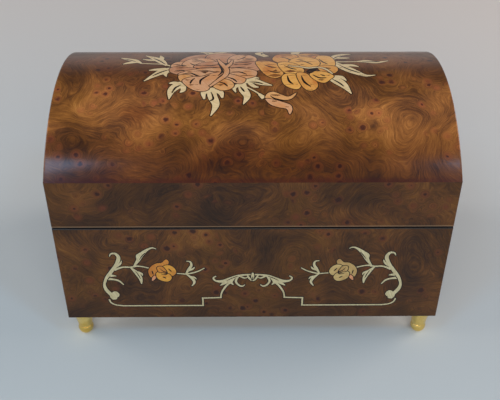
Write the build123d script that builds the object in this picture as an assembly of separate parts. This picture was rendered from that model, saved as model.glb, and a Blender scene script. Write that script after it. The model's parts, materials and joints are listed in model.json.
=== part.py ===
"""Dome-lidded cylinder music box: a veneered chest on turned feet, with a comb-and-cylinder movement in it.

Millimetres. +X is right, +Y is back, +Z is up. The origin is on the floor, under the middle of the chest.
Each function returns one sub-part or one group of like sub-parts, and main() writes one STEP for each node.
"""

import math
import os

from build123d import *

# ---- chest ---------------------------------------------------------------------------------------
CASE_WIDTH = 250.0
CASE_DEPTH = 160.0
CASE_HEIGHT = 77.6
SEAM_GAP = 0.6
SKIRT_HEIGHT = 34.3
VAULT_RISE = 33.5
WALL = 9.0
VAULT_THICKNESS = 4.5
BOARD_THICKNESS = 8.0
BOARD_REBATE = 5.0
EDGE_ROUND = 1.0
RIM_ROUND = 0.5
SNUG = 0.1  # clearance of a wooden part let into another

# ---- feet ----------------------------------------------------------------------------------------
FOOT_HEIGHT = 20.0
FOOT_FLANGE_RADIUS = 7.4
FOOT_BALL_RADIUS = 5.2
FOOT_NECK_RADIUS = 4.4
FOOT_PAD_RADIUS = 3.0
FOOT_STUD_RADIUS = 2.0
FOOT_STUD_LENGTH = 6.5
FOOT_INSET = 8.6

# ---- hinges --------------------------------------------------------------------------------------
HINGE_INSET = 2.5
HINGE_LENGTH = 30.0
HINGE_SPACING = 150.0
KNUCKLES = 5
KNUCKLE_RADIUS = 2.0
KNUCKLE_GAP = 0.1
LEAF_THICKNESS = 1.0
HINGE_PIN_RADIUS = 0.8
LID_OPEN_DEG = 100.0
BEVEL_SPARE_DEG = 1.0
HINGE_SCREW_RADIUS = 1.0
HINGE_SCREW_HEAD_RADIUS = 1.9
HINGE_SCREW_LENGTH = 9.0

# ---- interior ------------------------------------------------------------------------------------
BED_TO_DIVIDER = 3.0  # from the bedplate's front to the divider
DIVIDER_THICKNESS = 6.0
LEDGE_WIDTH = 3.0
LEDGE_HEIGHT = 6.0
GLASS_THICKNESS = 3.0
GLASS_MARGIN = 0.4
DIVIDER_ABOVE_GLASS = 3.0
PAD_THICKNESS = 2.0
PAD_BELOW_RIM = 6.0

# ---- movement ------------------------------------------------------------------------------------
SPACER_HEIGHT = 5.0
SPACER_RADIUS = 3.0
BED_THICKNESS = 3.0
BED_EDGE = 1.0  # of bedplate left outside a bracket
BED_CORNER_RADIUS = 4.0
BED_SCREW_INSET = 6.0
BED_MARGIN = 3.0  # from the bay's back to the bedplate
BED_CENTRE_X = -14.0
FOOT_PLATE = 2.5  # thickness of the brackets' feet
BARREL_FROM_BACK = 7.5  # from the drum to the bay's back
STATION_GAP = 2.0  # between one turning group and the next along the bedplate
GOVERNOR_BAY = 27.0  # length of bedplate kept for the governor
MOVEMENT_HEADROOM = 1.0  # from the governor's frame to the glass

# ---- gears ---------------------------------------------------------------------------------------
MODULE = 0.6
PRESSURE_ANGLE = math.radians(20)
DEDENDUM = 1.25 * MODULE
WHEEL_ADDENDUM = 0.7 * MODULE
PINION_ADDENDUM = 0.9 * MODULE
TOOTH_THINNING = 0.14
GEAR_WIDTH = 2.4
CROWN_TEETH = 60
PINION_TEETH = 12
CYLINDER_WHEEL_TEETH = 48
GOVERNOR_PINION_TEETH = 12
WORM_WHEEL_TEETH = 24
WORM_WHEEL_WIDTH = 1.0
WORM_PITCH_RADIUS = 1.9
WORM_ADDENDUM = 0.45
WORM_DEDENDUM = 0.7
WORM_THREAD_SHARE = 0.34
WORM_LENGTH = 12.0
WORM_SPINDLE_RADIUS = 0.8

# ---- spring barrel and winding ---------------------------------------------------------------------
BARREL_WALL = 1.2
BARREL_RIM = 0.3  # of the drum left outside the crown of teeth
BARREL_LIFT = 0.8  # above the bedplate
BARREL_HEIGHT = 16.8
BARREL_TOP = 1.6
ARBOR_RADIUS = 2.5
RUNNING = 0.05  # radial clearance of a turning part
PRESS_CLEARANCE = 0.02  # radial clearance of a part fixed on its shaft
SPRING_STRIP = 0.5
SPRING_TURNS = 7
RATCHET_RADIUS = 8.0
RATCHET_DEPTH = 1.2
RATCHET_TEETH = 12
RATCHET_THICKNESS = 2.0
RATCHET_DROP = 1.2  # from the bedplate's underside
CLICK_SCREW_RADIUS = 1.0
JOURNAL_RADIUS = 1.7  # of the arbor in the bridge
BRIDGE_THICKNESS = 2.5
BRIDGE_OVER_BARREL = 2.2
BRIDGE_WIDTH = 14.0
BRIDGE_FOOT = 6.0
CLICK_BOSS = 2.2
KEY_HUB_RADIUS = 4.0
KEY_CAP = 1.0  # of metal below the arbor's end
KEY_WING_SPAN = 26.0
KEY_WING_THICKNESS = 2.4
KEY_FLOOR_CLEARANCE = 4.0
KEY_BOARD_CLEARANCE = 1.2
KEY_HOLE_MARGIN = 0.7  # round the arbor where it passes the bottom board

# ---- cylinder and comb -----------------------------------------------------------------------------
CYLINDER_RADIUS = 12.0
CYLINDER_WALL = 1.2
CYLINDER_MARGIN = 1.5  # of tube past the end teeth
END_DISC_THICKNESS = 2.0
CYLINDER_ARBOR_RADIUS = 2.0
PIN_RADIUS = 0.25
PIN_HEIGHT = 0.7
PINS_PER_TRACK = 4
COMB_TEETH = 50
COMB_PITCH = 1.5
COMB_SLOT = 0.4
COMB_THICKNESS = 1.8
COMB_TOOTH_THICKNESS = 1.0
COMB_CLEARANCE = 0.15  # from the pins' tips to the teeth
BASS_TOOTH_LENGTH = 17.0
TREBLE_TOOTH_LENGTH = 9.0
COMB_HEEL = 9.0
COMB_SCREWS = 5
BEARING_THICKNESS = 3.0
BEARING_WIDTH = 14.0

# ---- governor ------------------------------------------------------------------------------------
FLY_RADIUS = 7.0
FLY_HEIGHT = 7.0
FLY_THICKNESS = 0.5
FLY_TO_POST = 1.9
FLY_HUB_RADIUS = 1.7
WORM_END_GAP = 2.0  # from the worm to the fly, and from the fly to the arm
WORM_FROM_CHEEK = 6.0
GOVERNOR_WALL = 2.0
CHEEK_RADIUS = 3.5
GOVERNOR_ARBOR_RADIUS = 1.0
FRAME_ARM = 2.0
FRAME_POST = 3.0

# ---- stop work -----------------------------------------------------------------------------------
PLUNGER_RADIUS = 1.5
PLUNGER_FROM_WALL = 5.5
PLUNGER_GAP = 0.2
PLUNGER_CAP_MARGIN = 0.8
GLASS_NOTCH_MARGIN = 1.7
STRIKER_HEIGHT = 8.0
STRIKER_WIDTH = 10.0
GUIDE_PLATE = 1.5
GUIDE_HEIGHT = 8.0
GUIDE_BELOW_GLASS = 4.0
GUIDE_EYE_HALF = 3.2
GUIDE_SCREW_LENGTH = 7.5
GUIDE_HEAD_HEIGHT = 1.2
LEVER_THICKNESS = 1.5
LEVER_HEIGHT = 4.0
LEVER_ABOVE_AXIS = 1.0
LEVER_POST_RADIUS = 3.0
LEVER_CLEARANCE = 0.4  # from the lever's tip to the fly
LEVER_POST_INSET = 4.0
LEVER_SIDE_PLAY = 0.3
LEVER_STUD_RADIUS = 1.0

# ---- screws --------------------------------------------------------------------------------------
SCREW_RADIUS = 1.25
SCREW_HEAD_RADIUS = 2.3
SCREW_HEAD_HEIGHT = 1.6
SCREW_SLOT = 0.5
SCREW_CLEARANCE = 0.05
SCREW_TIP_ROOM = 0.5
HEAD_ROOM = 0.2  # round a sunk head

# ---- worked out ----------------------------------------------------------------------------------
half_width, half_depth = CASE_WIDTH / 2, CASE_DEPTH / 2
inner_x, inner_y = half_width - WALL, half_depth - WALL
board_top = FOOT_HEIGHT + BOARD_THICKNESS
rim = FOOT_HEIGHT + CASE_HEIGHT
lid_bottom = rim + SEAM_GAP
kink = lid_bottom + SKIRT_HEIGHT
crown = kink + VAULT_RISE
vault_radius = (half_depth**2 + VAULT_RISE**2) / (2 * VAULT_RISE)
vault_centre = crown - vault_radius

hinge_y, hinge_z = half_depth - HINGE_INSET, rim + SEAM_GAP / 2
bevel = math.radians((LID_OPEN_DEG + BEVEL_SPARE_DEG) / 2)
bevel_drop = HINGE_INSET * math.tan(bevel)
bevel_start = hinge_y + SEAM_GAP / 2 / math.tan(bevel)

bed_bottom = board_top + SPACER_HEIGHT
bed_top = bed_bottom + BED_THICKNESS
bed_back = inner_y - BED_MARGIN
foot_top = bed_top + FOOT_PLATE

crown_radius = CROWN_TEETH * MODULE / 2
pinion_radius = PINION_TEETH * MODULE / 2
cylinder_wheel_radius = CYLINDER_WHEEL_TEETH * MODULE / 2
governor_pinion_radius = GOVERNOR_PINION_TEETH * MODULE / 2
worm_wheel_radius = WORM_WHEEL_TEETH * MODULE / 2
barrel_radius = crown_radius + GEAR_WIDTH / 2 + BARREL_RIM

barrel_bottom = bed_top + BARREL_LIFT
barrel_top = barrel_bottom + BARREL_HEIGHT
axis_y = inner_y - BARREL_FROM_BACK - barrel_radius
axis_z = barrel_top + DEDENDUM + pinion_radius

comb_length = COMB_TEETH * COMB_PITCH
cylinder_length = comb_length + 2 * CYLINDER_MARGIN
bed_length = (
    BED_EDGE + BRIDGE_FOOT + STATION_GAP + barrel_radius + crown_radius + GEAR_WIDTH / 2
    + STATION_GAP + BEARING_THICKNESS + STATION_GAP + cylinder_length + STATION_GAP
    + GEAR_WIDTH + STATION_GAP + GOVERNOR_BAY
)
bed_left = BED_CENTRE_X - bed_length / 2
bed_right = bed_left + bed_length
bridge_left = bed_left + BED_EDGE
barrel_x = bridge_left + BRIDGE_FOOT + STATION_GAP + barrel_radius
pinion_x = barrel_x + crown_radius - GEAR_WIDTH / 2
left_bearing_x = pinion_x + GEAR_WIDTH + STATION_GAP
cylinder_left = left_bearing_x + BEARING_THICKNESS + STATION_GAP
cylinder_right = cylinder_left + cylinder_length
wheel_x = cylinder_right + STATION_GAP
cheek_x = wheel_x + GEAR_WIDTH + STATION_GAP / 2
right_bearing_x = cheek_x + GOVERNOR_WALL
worm_x = right_bearing_x + WORM_FROM_CHEEK
far_cheek_x = worm_x + WORM_FROM_CHEEK
governor_y = axis_y - cylinder_wheel_radius - governor_pinion_radius
worm_y = governor_y - worm_wheel_radius - WORM_PITCH_RADIUS
frame_post_y = worm_y - FLY_RADIUS - FLY_TO_POST - FRAME_POST
fly_bottom = axis_z + WORM_LENGTH / 2 + WORM_END_GAP
fly_top = fly_bottom + FLY_HEIGHT
arm_bottom = fly_top + WORM_END_GAP
glass_bottom = arm_bottom + FRAME_ARM + MOVEMENT_HEADROOM
glass_top = glass_bottom + GLASS_THICKNESS
divider_top = glass_top + DIVIDER_ABOVE_GLASS

bed_front = frame_post_y - BED_EDGE
bay_front = bed_front - BED_TO_DIVIDER
divider_front = bay_front - DIVIDER_THICKNESS

tip_y = axis_y - CYLINDER_RADIUS - PIN_HEIGHT - COMB_CLEARANCE
comb_left = cylinder_left + CYLINDER_MARGIN
comb_front = bed_front + BED_EDGE / 2

plunger_x = inner_x - PLUNGER_FROM_WALL
lever_pivot_x = bed_right - LEVER_POST_INSET
lever_y = worm_y
lever_z = axis_z + LEVER_ABOVE_AXIS
lever_post_y = lever_y + LEVER_THICKNESS / 2 + LEVER_SIDE_PLAY
guide_top = glass_bottom - GUIDE_BELOW_GLASS
guide_bottom = guide_top - GUIDE_HEIGHT
guide_screw_z = guide_bottom + 3.0

ratchet_bottom = bed_bottom - RATCHET_DROP - RATCHET_THICKNESS
click_x, click_y = barrel_x - RATCHET_RADIUS - 3.0, axis_y + 9.0
bed_screw_seat = FOOT_HEIGHT + SCREW_HEAD_HEIGHT + 0.4
bridge_bottom = barrel_top + BRIDGE_OVER_BARREL
bridge_top = bridge_bottom + BRIDGE_THICKNESS


# ---- small helpers -------------------------------------------------------------------------------
def block(x0, x1, y0, y1, z0, z1):
    """The box between three pairs of planes."""
    return Pos((x0 + x1) / 2, (y0 + y1) / 2, (z0 + z1) / 2) * Box(x1 - x0, y1 - y0, z1 - z0)


def rod_x(x0, x1, y, z, radius):
    return Pos((x0 + x1) / 2, y, z) * Rot(0, 90, 0) * Cylinder(radius, x1 - x0)


def rod_y(x, y0, y1, z, radius):
    return Pos(x, (y0 + y1) / 2, z) * Rot(90, 0, 0) * Cylinder(radius, y1 - y0)


def rod_z(x, y, z0, z1, radius):
    return Pos(x, y, (z0 + z1) / 2) * Cylinder(radius, z1 - z0)


def slab_x(points, x0, x1):
    """A (y, z) outline, from x0 to x1."""
    return extrude(Plane.YZ.offset(x0) * Polygon(*points, align=None), amount=x1 - x0, dir=(1, 0, 0))


def slab_y(points, y0, y1):
    """An (x, z) outline, from y0 to y1."""
    return extrude(Plane.XZ.offset(-y0) * Polygon(*points, align=None), amount=y1 - y0, dir=(0, 1, 0))


def slab_z(points, z0, z1):
    """An (x, y) outline, from z0 to z1."""
    return extrude(Plane.XY.offset(z0) * Polygon(*points, align=None), amount=z1 - z0, dir=(0, 0, 1))


def edges_near(shape, axis, **where):
    """The edges along an axis whose middle is at the given x, y or z."""
    return [
        e
        for e in shape.edges().filter_by(axis)
        if all(abs(getattr(e.center(), k.upper()) - v) < 0.01 for k, v in where.items())
    ]


def involute(angle):
    return math.tan(angle) - angle


def gear_outline(teeth, addendum, turn=0.0):
    """The outline of a spur gear, with a tooth centred on the turn angle from its first axis."""
    pitch = teeth * MODULE / 2
    base = pitch * math.cos(PRESSURE_ANGLE)
    thickness = math.pi * MODULE / 2 - TOOTH_THINNING
    root, tip = pitch - DEDENDUM, pitch + addendum
    radii = [root, max(root, base), pitch, (pitch + tip) / 2, tip]
    flank = []
    for r in radii:
        roll = math.acos(min(1.0, base / r))
        half = thickness / 2 / pitch + involute(PRESSURE_ANGLE) - involute(roll)
        flank.append((r, half))
    points = []
    for i in range(teeth):
        middle = turn + 2 * math.pi * i / teeth
        tooth = [(r, middle - h) for r, h in flank] + [(r, middle + h) for r, h in reversed(flank)]
        points += [(r * math.cos(a), r * math.sin(a)) for r, a in tooth]
    return points


def shifted(points, du, dv):
    return [(u + du, v + dv) for u, v in points]


def cheese_screw(x, y, seat, length):
    """A slotted screw with its head's underside at the seat height."""
    head = rod_z(x, y, seat, seat + SCREW_HEAD_HEIGHT, SCREW_HEAD_RADIUS)
    slot_bottom = seat + SCREW_HEAD_HEIGHT * 0.55
    reach = SCREW_HEAD_RADIUS + 1
    slot = block(x - SCREW_SLOT / 2, x + SCREW_SLOT / 2, y - reach, y + reach, slot_bottom, seat + 9)
    return (head - slot) + rod_z(x, y, seat - length, seat, SCREW_RADIUS)


def screw_hole(x, y, z0, z1):
    return rod_z(x, y, z0, z1, SCREW_RADIUS + SCREW_CLEARANCE)


# ---- chest ---------------------------------------------------------------------------------------
def board_space(clearance=0.0):
    x, y = inner_x + BOARD_REBATE - clearance, inner_y + BOARD_REBATE - clearance
    return block(-x, x, -y, y, FOOT_HEIGHT, board_top)


def hinge_middles():
    return [-HINGE_SPACING / 2, HINGE_SPACING / 2]


def hinge_screw_spots(middle):
    """Places of one leaf's screws, in the wood between the bay and the hinge's axis."""
    y = (inner_y + hinge_y - KNUCKLE_RADIUS) / 2
    return [(middle + k * HINGE_LENGTH * 0.36, y) for k in (-1, 0, 1)]


def knuckle_space(middle):
    reach = HINGE_LENGTH / 2 + SNUG
    return rod_x(middle - reach, middle + reach, hinge_y, hinge_z, KNUCKLE_RADIUS + 0.3)


def leaf_plate(middle, z0, grow=0.0):
    x0, x1 = middle - HINGE_LENGTH / 2 - grow, middle + HINGE_LENGTH / 2 + grow
    return block(x0, x1, inner_y + 0.5 - grow, hinge_y, z0, z0 + LEAF_THICKNESS)


def case_front_panel():
    panel = block(-half_width, half_width, -half_depth, -inner_y, FOOT_HEIGHT, rim)
    corners = edges_near(panel, Axis.Z, y=-half_depth)
    foot_edge = edges_near(panel, Axis.X, y=-half_depth, z=FOOT_HEIGHT)
    panel = fillet(corners + foot_edge, EDGE_ROUND)
    panel = fillet(edges_near(panel, Axis.X, y=-half_depth, z=rim), RIM_ROUND)
    return panel - board_space()


def case_back_panel():
    outline = [
        (inner_y, FOOT_HEIGHT), (half_depth, FOOT_HEIGHT), (half_depth, hinge_z - bevel_drop),
        (bevel_start, rim), (inner_y, rim),
    ]
    panel = slab_x(outline, -half_width, half_width)
    corners = edges_near(panel, Axis.Z, y=half_depth)
    foot_edge = edges_near(panel, Axis.X, y=half_depth, z=FOOT_HEIGHT)
    panel = fillet(corners + foot_edge, EDGE_ROUND) - board_space()
    for middle in hinge_middles():
        panel -= knuckle_space(middle)
        panel -= leaf_plate(middle, rim - LEAF_THICKNESS, SNUG)
        for x, y in hinge_screw_spots(middle):
            depth = HINGE_SCREW_LENGTH + 1
            panel -= rod_z(x, y, rim - depth, rim, HINGE_SCREW_RADIUS + SCREW_CLEARANCE)
    return panel


def case_end(side):
    x0, x1 = sorted((side * inner_x, side * half_width))
    panel = block(x0, x1, -inner_y, inner_y, FOOT_HEIGHT, rim)
    panel = fillet(edges_near(panel, Axis.Y, x=side * half_width, z=FOOT_HEIGHT), EDGE_ROUND)
    panel = fillet(edges_near(panel, Axis.Y, x=side * half_width, z=rim), RIM_ROUND)
    panel -= board_space()
    if side > 0:
        reach = GUIDE_SCREW_LENGTH - GUIDE_PLATE + SCREW_TIP_ROOM
        panel -= rod_x(inner_x, inner_x + reach, lever_y, guide_screw_z, SCREW_RADIUS + SCREW_CLEARANCE)
    return panel


def case_bottom_board():
    board = board_space(SNUG)
    board -= rod_z(barrel_x, axis_y, FOOT_HEIGHT - 1, board_top + 1, ARBOR_RADIUS + KEY_HOLE_MARGIN)
    for x, y in bed_screw_spots():
        board -= screw_hole(x, y, FOOT_HEIGHT - 1, board_top + 1)
        board -= rod_z(x, y, FOOT_HEIGHT - 1, bed_screw_seat, SCREW_HEAD_RADIUS + HEAD_ROOM)
    for x, y in foot_spots().values():
        top = FOOT_HEIGHT + FOOT_STUD_LENGTH + SCREW_TIP_ROOM
        board -= rod_z(x, y, FOOT_HEIGHT, top, FOOT_STUD_RADIUS + SCREW_CLEARANCE)
    return board


def foot_spots():
    x, y = half_width - FOOT_INSET, half_depth - FOOT_INSET
    return {"front_left": (-x, -y), "front_right": (x, -y), "back_left": (-x, y), "back_right": (x, y)}


def foot(x, y):
    """A turned brass foot: a flange, a hollow taper to a neck and a flattened ball, with its stud."""
    ball_z = math.sqrt(FOOT_BALL_RADIUS**2 - FOOT_PAD_RADIUS**2)
    neck_z = ball_z + math.sqrt(FOOT_BALL_RADIUS**2 - FOOT_NECK_RADIUS**2)
    flange_z = FOOT_HEIGHT - 2.6
    pad, neck = (FOOT_PAD_RADIUS, 0), (FOOT_NECK_RADIUS, neck_z)
    ball = ThreePointArc(pad, (FOOT_BALL_RADIUS, ball_z), neck)
    ring = Line(neck, (FOOT_NECK_RADIUS + 0.5, neck_z + 0.4))
    rise = Line(ring @ 1, (FOOT_NECK_RADIUS + 0.5, neck_z + 1.2))
    rim_point = (FOOT_FLANGE_RADIUS - 0.5, flange_z)
    hollow = ThreePointArc(
        rise @ 1,
        ((FOOT_NECK_RADIUS + FOOT_FLANGE_RADIUS) / 2 - 0.1, (neck_z + 1.2 + flange_z) / 2 + 0.6),
        rim_point,
    )
    lip_middle = (FOOT_FLANGE_RADIUS, (flange_z + FOOT_HEIGHT) / 2)
    lip = ThreePointArc(rim_point, lip_middle, (FOOT_FLANGE_RADIUS - 0.5, FOOT_HEIGHT))
    stud_top = FOOT_HEIGHT + FOOT_STUD_LENGTH
    stud = [(FOOT_STUD_RADIUS, FOOT_HEIGHT), (FOOT_STUD_RADIUS, stud_top), (0, stud_top)]
    top = Polyline(lip @ 1, *stud, (0, 0), pad)
    outline = make_face([ball, ring, rise, hollow, lip, *top.edges()])
    return Pos(x, y, 0) * revolve(Plane.XZ * outline, Axis.Z)


# ---- lid -----------------------------------------------------------------------------------------
def lid_front_rail():
    rail = block(-half_width, half_width, -half_depth, -inner_y, lid_bottom, kink)
    rail = fillet(edges_near(rail, Axis.Z, y=-half_depth), EDGE_ROUND)
    return fillet(edges_near(rail, Axis.X, y=-half_depth, z=lid_bottom), RIM_ROUND)


def lid_back_rail():
    outline = [
        (inner_y, lid_bottom), (bevel_start, lid_bottom), (half_depth, hinge_z + bevel_drop),
        (half_depth, kink), (inner_y, kink),
    ]
    rail = slab_x(outline, -half_width, half_width)
    rail = fillet(edges_near(rail, Axis.Z, y=half_depth), EDGE_ROUND)
    for middle in hinge_middles():
        rail -= knuckle_space(middle)
        rail -= leaf_plate(middle, lid_bottom, SNUG)
        for x, y in hinge_screw_spots(middle):
            depth = HINGE_SCREW_LENGTH + 1
            rail -= rod_z(x, y, lid_bottom, lid_bottom + depth, HINGE_SCREW_RADIUS + SCREW_CLEARANCE)
    return rail


def vault_disc(radius, x0, x1):
    return rod_x(x0, x1, 0, vault_centre, radius)


def lid_end(side):
    """An end board: straight to the skirt's top and arched above it, under the bent vault."""
    x0, x1 = sorted((side * inner_x, side * half_width))
    board = block(x0, x1, -inner_y, inner_y, lid_bottom, kink)
    board = fillet(edges_near(board, Axis.Y, x=side * half_width, z=lid_bottom), RIM_ROUND)
    arch = vault_disc(vault_radius - VAULT_THICKNESS, x0, x1)
    return board + (arch & block(x0, x1, -half_depth, half_depth, kink, crown))


def lid_vault():
    """The bent panel that roofs the lid, with its long edges cut level on the rails."""
    shell = vault_disc(vault_radius, -half_width, half_width)
    shell &= block(-half_width, half_width, -half_depth, half_depth, kink, crown + 1)
    ends = [e for e in shell.edges() if abs(abs(e.center().X) - half_width) < 0.01]
    arches = [e for e in ends if e.length > CASE_DEPTH]
    shell = fillet(arches, EDGE_ROUND)
    return shell - vault_disc(vault_radius - VAULT_THICKNESS, -half_width - 1, half_width + 1)


def lid_striker():
    """The block inside the lid that presses the stop plunger down."""
    half = STRIKER_WIDTH / 2
    top = lid_bottom + STRIKER_HEIGHT
    return block(plunger_x - half, inner_x, lever_y - half, lever_y + half, lid_bottom, top)


# ---- hinges --------------------------------------------------------------------------------------
def knuckles(middle, first):
    """Every second knuckle of a hinge, from the first."""
    pitch = HINGE_LENGTH / KNUCKLES
    left = middle - HINGE_LENGTH / 2
    for k in range(first, KNUCKLES, 2):
        x0, x1 = left + k * pitch + KNUCKLE_GAP, left + (k + 1) * pitch - KNUCKLE_GAP
        yield x0, x1


def hinge_leaf(middle, first, z0):
    """A leaf and its knuckles; z0 is the underside of its plate."""
    plate = leaf_plate(middle, z0)
    reach = HINGE_LENGTH
    plate -= rod_x(middle - reach, middle + reach, hinge_y, hinge_z, KNUCKLE_RADIUS + 0.15)
    low, high = z0, z0 + LEAF_THICKNESS
    leaf = plate
    for x0, x1 in knuckles(middle, first):
        leaf += rod_x(x0, x1, hinge_y, hinge_z, KNUCKLE_RADIUS)
        leaf += block(x0, x1, hinge_y - KNUCKLE_RADIUS - 0.5, hinge_y - 1.0, low, high)
    leaf -= rod_x(middle - reach, middle + reach, hinge_y, hinge_z, HINGE_PIN_RADIUS + 0.03)
    for x, y in hinge_screw_spots(middle):
        leaf -= rod_z(x, y, low - 1, high + 1, HINGE_SCREW_RADIUS + SCREW_CLEARANCE)
        leaf -= countersink(x, y, low, high, HINGE_SCREW_HEAD_RADIUS + SCREW_CLEARANCE)
    return leaf


def countersink(x, y, low, high, radius):
    """A flush screw head's cone: wide at the seam's side of the leaf."""
    neck = HINGE_SCREW_RADIUS + radius - HINGE_SCREW_HEAD_RADIUS
    upright = high <= hinge_z
    cone = Cone(neck, radius, high - low) if upright else Cone(radius, neck, high - low)
    return Pos(x, y, (low + high) / 2) * cone


def hinge_screw(x, y, low, high):
    head = countersink(x, y, low, high, HINGE_SCREW_HEAD_RADIUS)
    if high <= hinge_z:
        slot = block(x - 1.5, x + 1.5, y - 0.2, y + 0.2, high - 0.4, high + 1)
        return head + rod_z(x, y, low - HINGE_SCREW_LENGTH + 1, low, HINGE_SCREW_RADIUS) - slot
    slot = block(x - 1.5, x + 1.5, y - 0.2, y + 0.2, low - 1, low + 0.4)
    return head + rod_z(x, y, high, high + HINGE_SCREW_LENGTH - 1, HINGE_SCREW_RADIUS) - slot


def hinge_screws(z0):
    spots = [spot for middle in hinge_middles() for spot in hinge_screw_spots(middle)]
    return [hinge_screw(x, y, z0, z0 + LEAF_THICKNESS) for x, y in spots]


def hinge_pins():
    reach = HINGE_LENGTH / 2 - 0.2
    return [rod_x(m - reach, m + reach, hinge_y, hinge_z, HINGE_PIN_RADIUS) for m in hinge_middles()]


# ---- interior ------------------------------------------------------------------------------------
def compartment_divider():
    return block(-inner_x, inner_x, divider_front, bay_front, board_top, divider_top)


def cover_ledges():
    low, high = glass_bottom - LEDGE_HEIGHT, glass_bottom
    back = block(-inner_x, inner_x, inner_y - LEDGE_WIDTH, inner_y, low, high)
    front = block(-inner_x, inner_x, bay_front, bay_front + LEDGE_WIDTH, low, high)
    return [back, front]


def glass_cover():
    x = inner_x - GLASS_MARGIN
    pane = block(-x, x, bay_front + GLASS_MARGIN, inner_y - GLASS_MARGIN, glass_bottom, glass_top)
    half = PLUNGER_RADIUS + PLUNGER_CAP_MARGIN + GLASS_NOTCH_MARGIN
    notch = block(plunger_x - half, inner_x, lever_y - half, lever_y + half, glass_bottom, glass_top)
    return pane - notch


def well_floor_pad():
    x = inner_x - SNUG
    return block(-x, x, -inner_y + SNUG, divider_front - SNUG, board_top, board_top + PAD_THICKNESS)


def well_wall_pads():
    """Padded cards on the well's four sides, in the order front, back, left, right."""
    low = board_top + PAD_THICKNESS
    front, back = -inner_y, divider_front
    top, back_top = rim - PAD_BELOW_RIM, divider_top - 1
    x = inner_x - SNUG
    pads = [
        block(-x, x, front, front + PAD_THICKNESS, low, top),
        block(-x, x, back - PAD_THICKNESS, back, low, back_top),
    ]
    for side in (-1, 1):
        x0, x1 = sorted((side * inner_x, side * (inner_x - PAD_THICKNESS)))
        pads.append(block(x0, x1, front + PAD_THICKNESS + SNUG, back - PAD_THICKNESS - SNUG, low, top))
    return pads


# ---- movement's frame ----------------------------------------------------------------------------
def bed_screw_spots():
    xs = (bed_left + BED_SCREW_INSET, bed_right - BED_SCREW_INSET)
    ys = (bed_front + BED_SCREW_INSET * 0.75, bed_back - BED_SCREW_INSET)
    return [(x, y) for x in xs for y in ys]


def bridge_screw_spots():
    x = bridge_left + BRIDGE_FOOT / 2
    return [(x, axis_y + k * (BRIDGE_WIDTH / 2 + 4)) for k in (-1, 1)]


def bearing_screw_spots():
    xs = (left_bearing_x + BEARING_THICKNESS / 2, right_bearing_x + BEARING_THICKNESS / 2)
    return [(x, axis_y + k * (BEARING_WIDTH / 2 + 3)) for x in xs for k in (-1, 1)]


def governor_screw_spots():
    return [(far_cheek_x + GOVERNOR_WALL + 2.4, governor_y), (worm_x + 6.5, worm_y - 6.0)]


def comb_base_screw_spots():
    y = comb_front + COMB_HEEL + 3.2
    return [(comb_left + comb_length * share, y) for share in (0.1, 0.5, 0.9)]


def lever_bracket_screw_spots():
    return [(lever_pivot_x, lever_post_y + 7.0)]


def bracket_screw_spots():
    return (
        bridge_screw_spots() + bearing_screw_spots() + governor_screw_spots()
        + comb_base_screw_spots() + lever_bracket_screw_spots()
    )


def movement_bedplate():
    plate = block(bed_left, bed_right, bed_front, bed_back, bed_bottom, bed_top)
    corners = plate.edges().filter_by(Axis.Z)
    plate = fillet(corners, BED_CORNER_RADIUS)
    plate = chamfer(plate.faces().sort_by(Axis.Z)[-1].edges(), 0.4)
    plate -= rod_z(barrel_x, axis_y, bed_bottom - 1, bed_top + 1, ARBOR_RADIUS + RUNNING)
    for x, y in bracket_screw_spots() + bed_screw_spots():
        plate -= screw_hole(x, y, bed_bottom - 1, bed_top + 1)
    plate -= rod_z(click_x, click_y, bed_bottom - 1, bed_top + 1, CLICK_SCREW_RADIUS + SCREW_CLEARANCE)
    return plate


def bedplate_spacers():
    return [
        rod_z(x, y, board_top, bed_bottom, SPACER_RADIUS) - screw_hole(x, y, board_top - 1, bed_bottom + 1)
        for x, y in bed_screw_spots()
    ]


def bedplate_screws():
    """The four long screws that hold the movement, with their heads sunk in the board's underside."""
    screws = []
    for x, y in bed_screw_spots():
        head = rod_z(x, y, bed_screw_seat - SCREW_HEAD_HEIGHT, bed_screw_seat, SCREW_HEAD_RADIUS)
        slot_top = bed_screw_seat - SCREW_HEAD_HEIGHT * 0.55
        slot = block(x - SCREW_SLOT / 2, x + SCREW_SLOT / 2, y - 3, y + 3, 0, slot_top)
        screws.append((head - slot) + rod_z(x, y, bed_screw_seat, bed_top - SCREW_TIP_ROOM, SCREW_RADIUS))
    return screws


def bracket_screws():
    """The cheese-headed screws of the brackets on the bedplate, and the one of the plunger's guide."""
    length = FOOT_PLATE + BED_THICKNESS - SCREW_TIP_ROOM
    screws = [cheese_screw(x, y, foot_top, length) for x, y in bracket_screw_spots()]
    face = inner_x - GUIDE_PLATE
    shank = rod_x(face, face + GUIDE_SCREW_LENGTH, lever_y, guide_screw_z, SCREW_RADIUS)
    head = rod_x(face - GUIDE_HEAD_HEIGHT, face, lever_y, guide_screw_z, SCREW_HEAD_RADIUS)
    return screws + [shank + head]


def barrel_bridge():
    """The cock over the barrel that holds the top of the winding arbor."""
    low, high = bridge_bottom, bridge_top
    half = BRIDGE_WIDTH / 2
    post = block(bridge_left, bridge_left + BRIDGE_FOOT, axis_y - half, axis_y + half, bed_top, high)
    arm = block(bridge_left, barrel_x, axis_y - half, axis_y + half, low, high)
    nose = rod_z(barrel_x, axis_y, low, high, half)
    flange = block(
        bridge_left, bridge_left + BRIDGE_FOOT, axis_y - half - 7, axis_y + half + 7, bed_top, foot_top
    )
    bridge = post + arm + nose + flange
    bridge -= rod_z(barrel_x, axis_y, low - 1, high + 1, JOURNAL_RADIUS + RUNNING)
    for x, y in bridge_screw_spots():
        bridge -= screw_hole(x, y, bed_top - 1, foot_top + 1)
    return bridge


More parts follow.
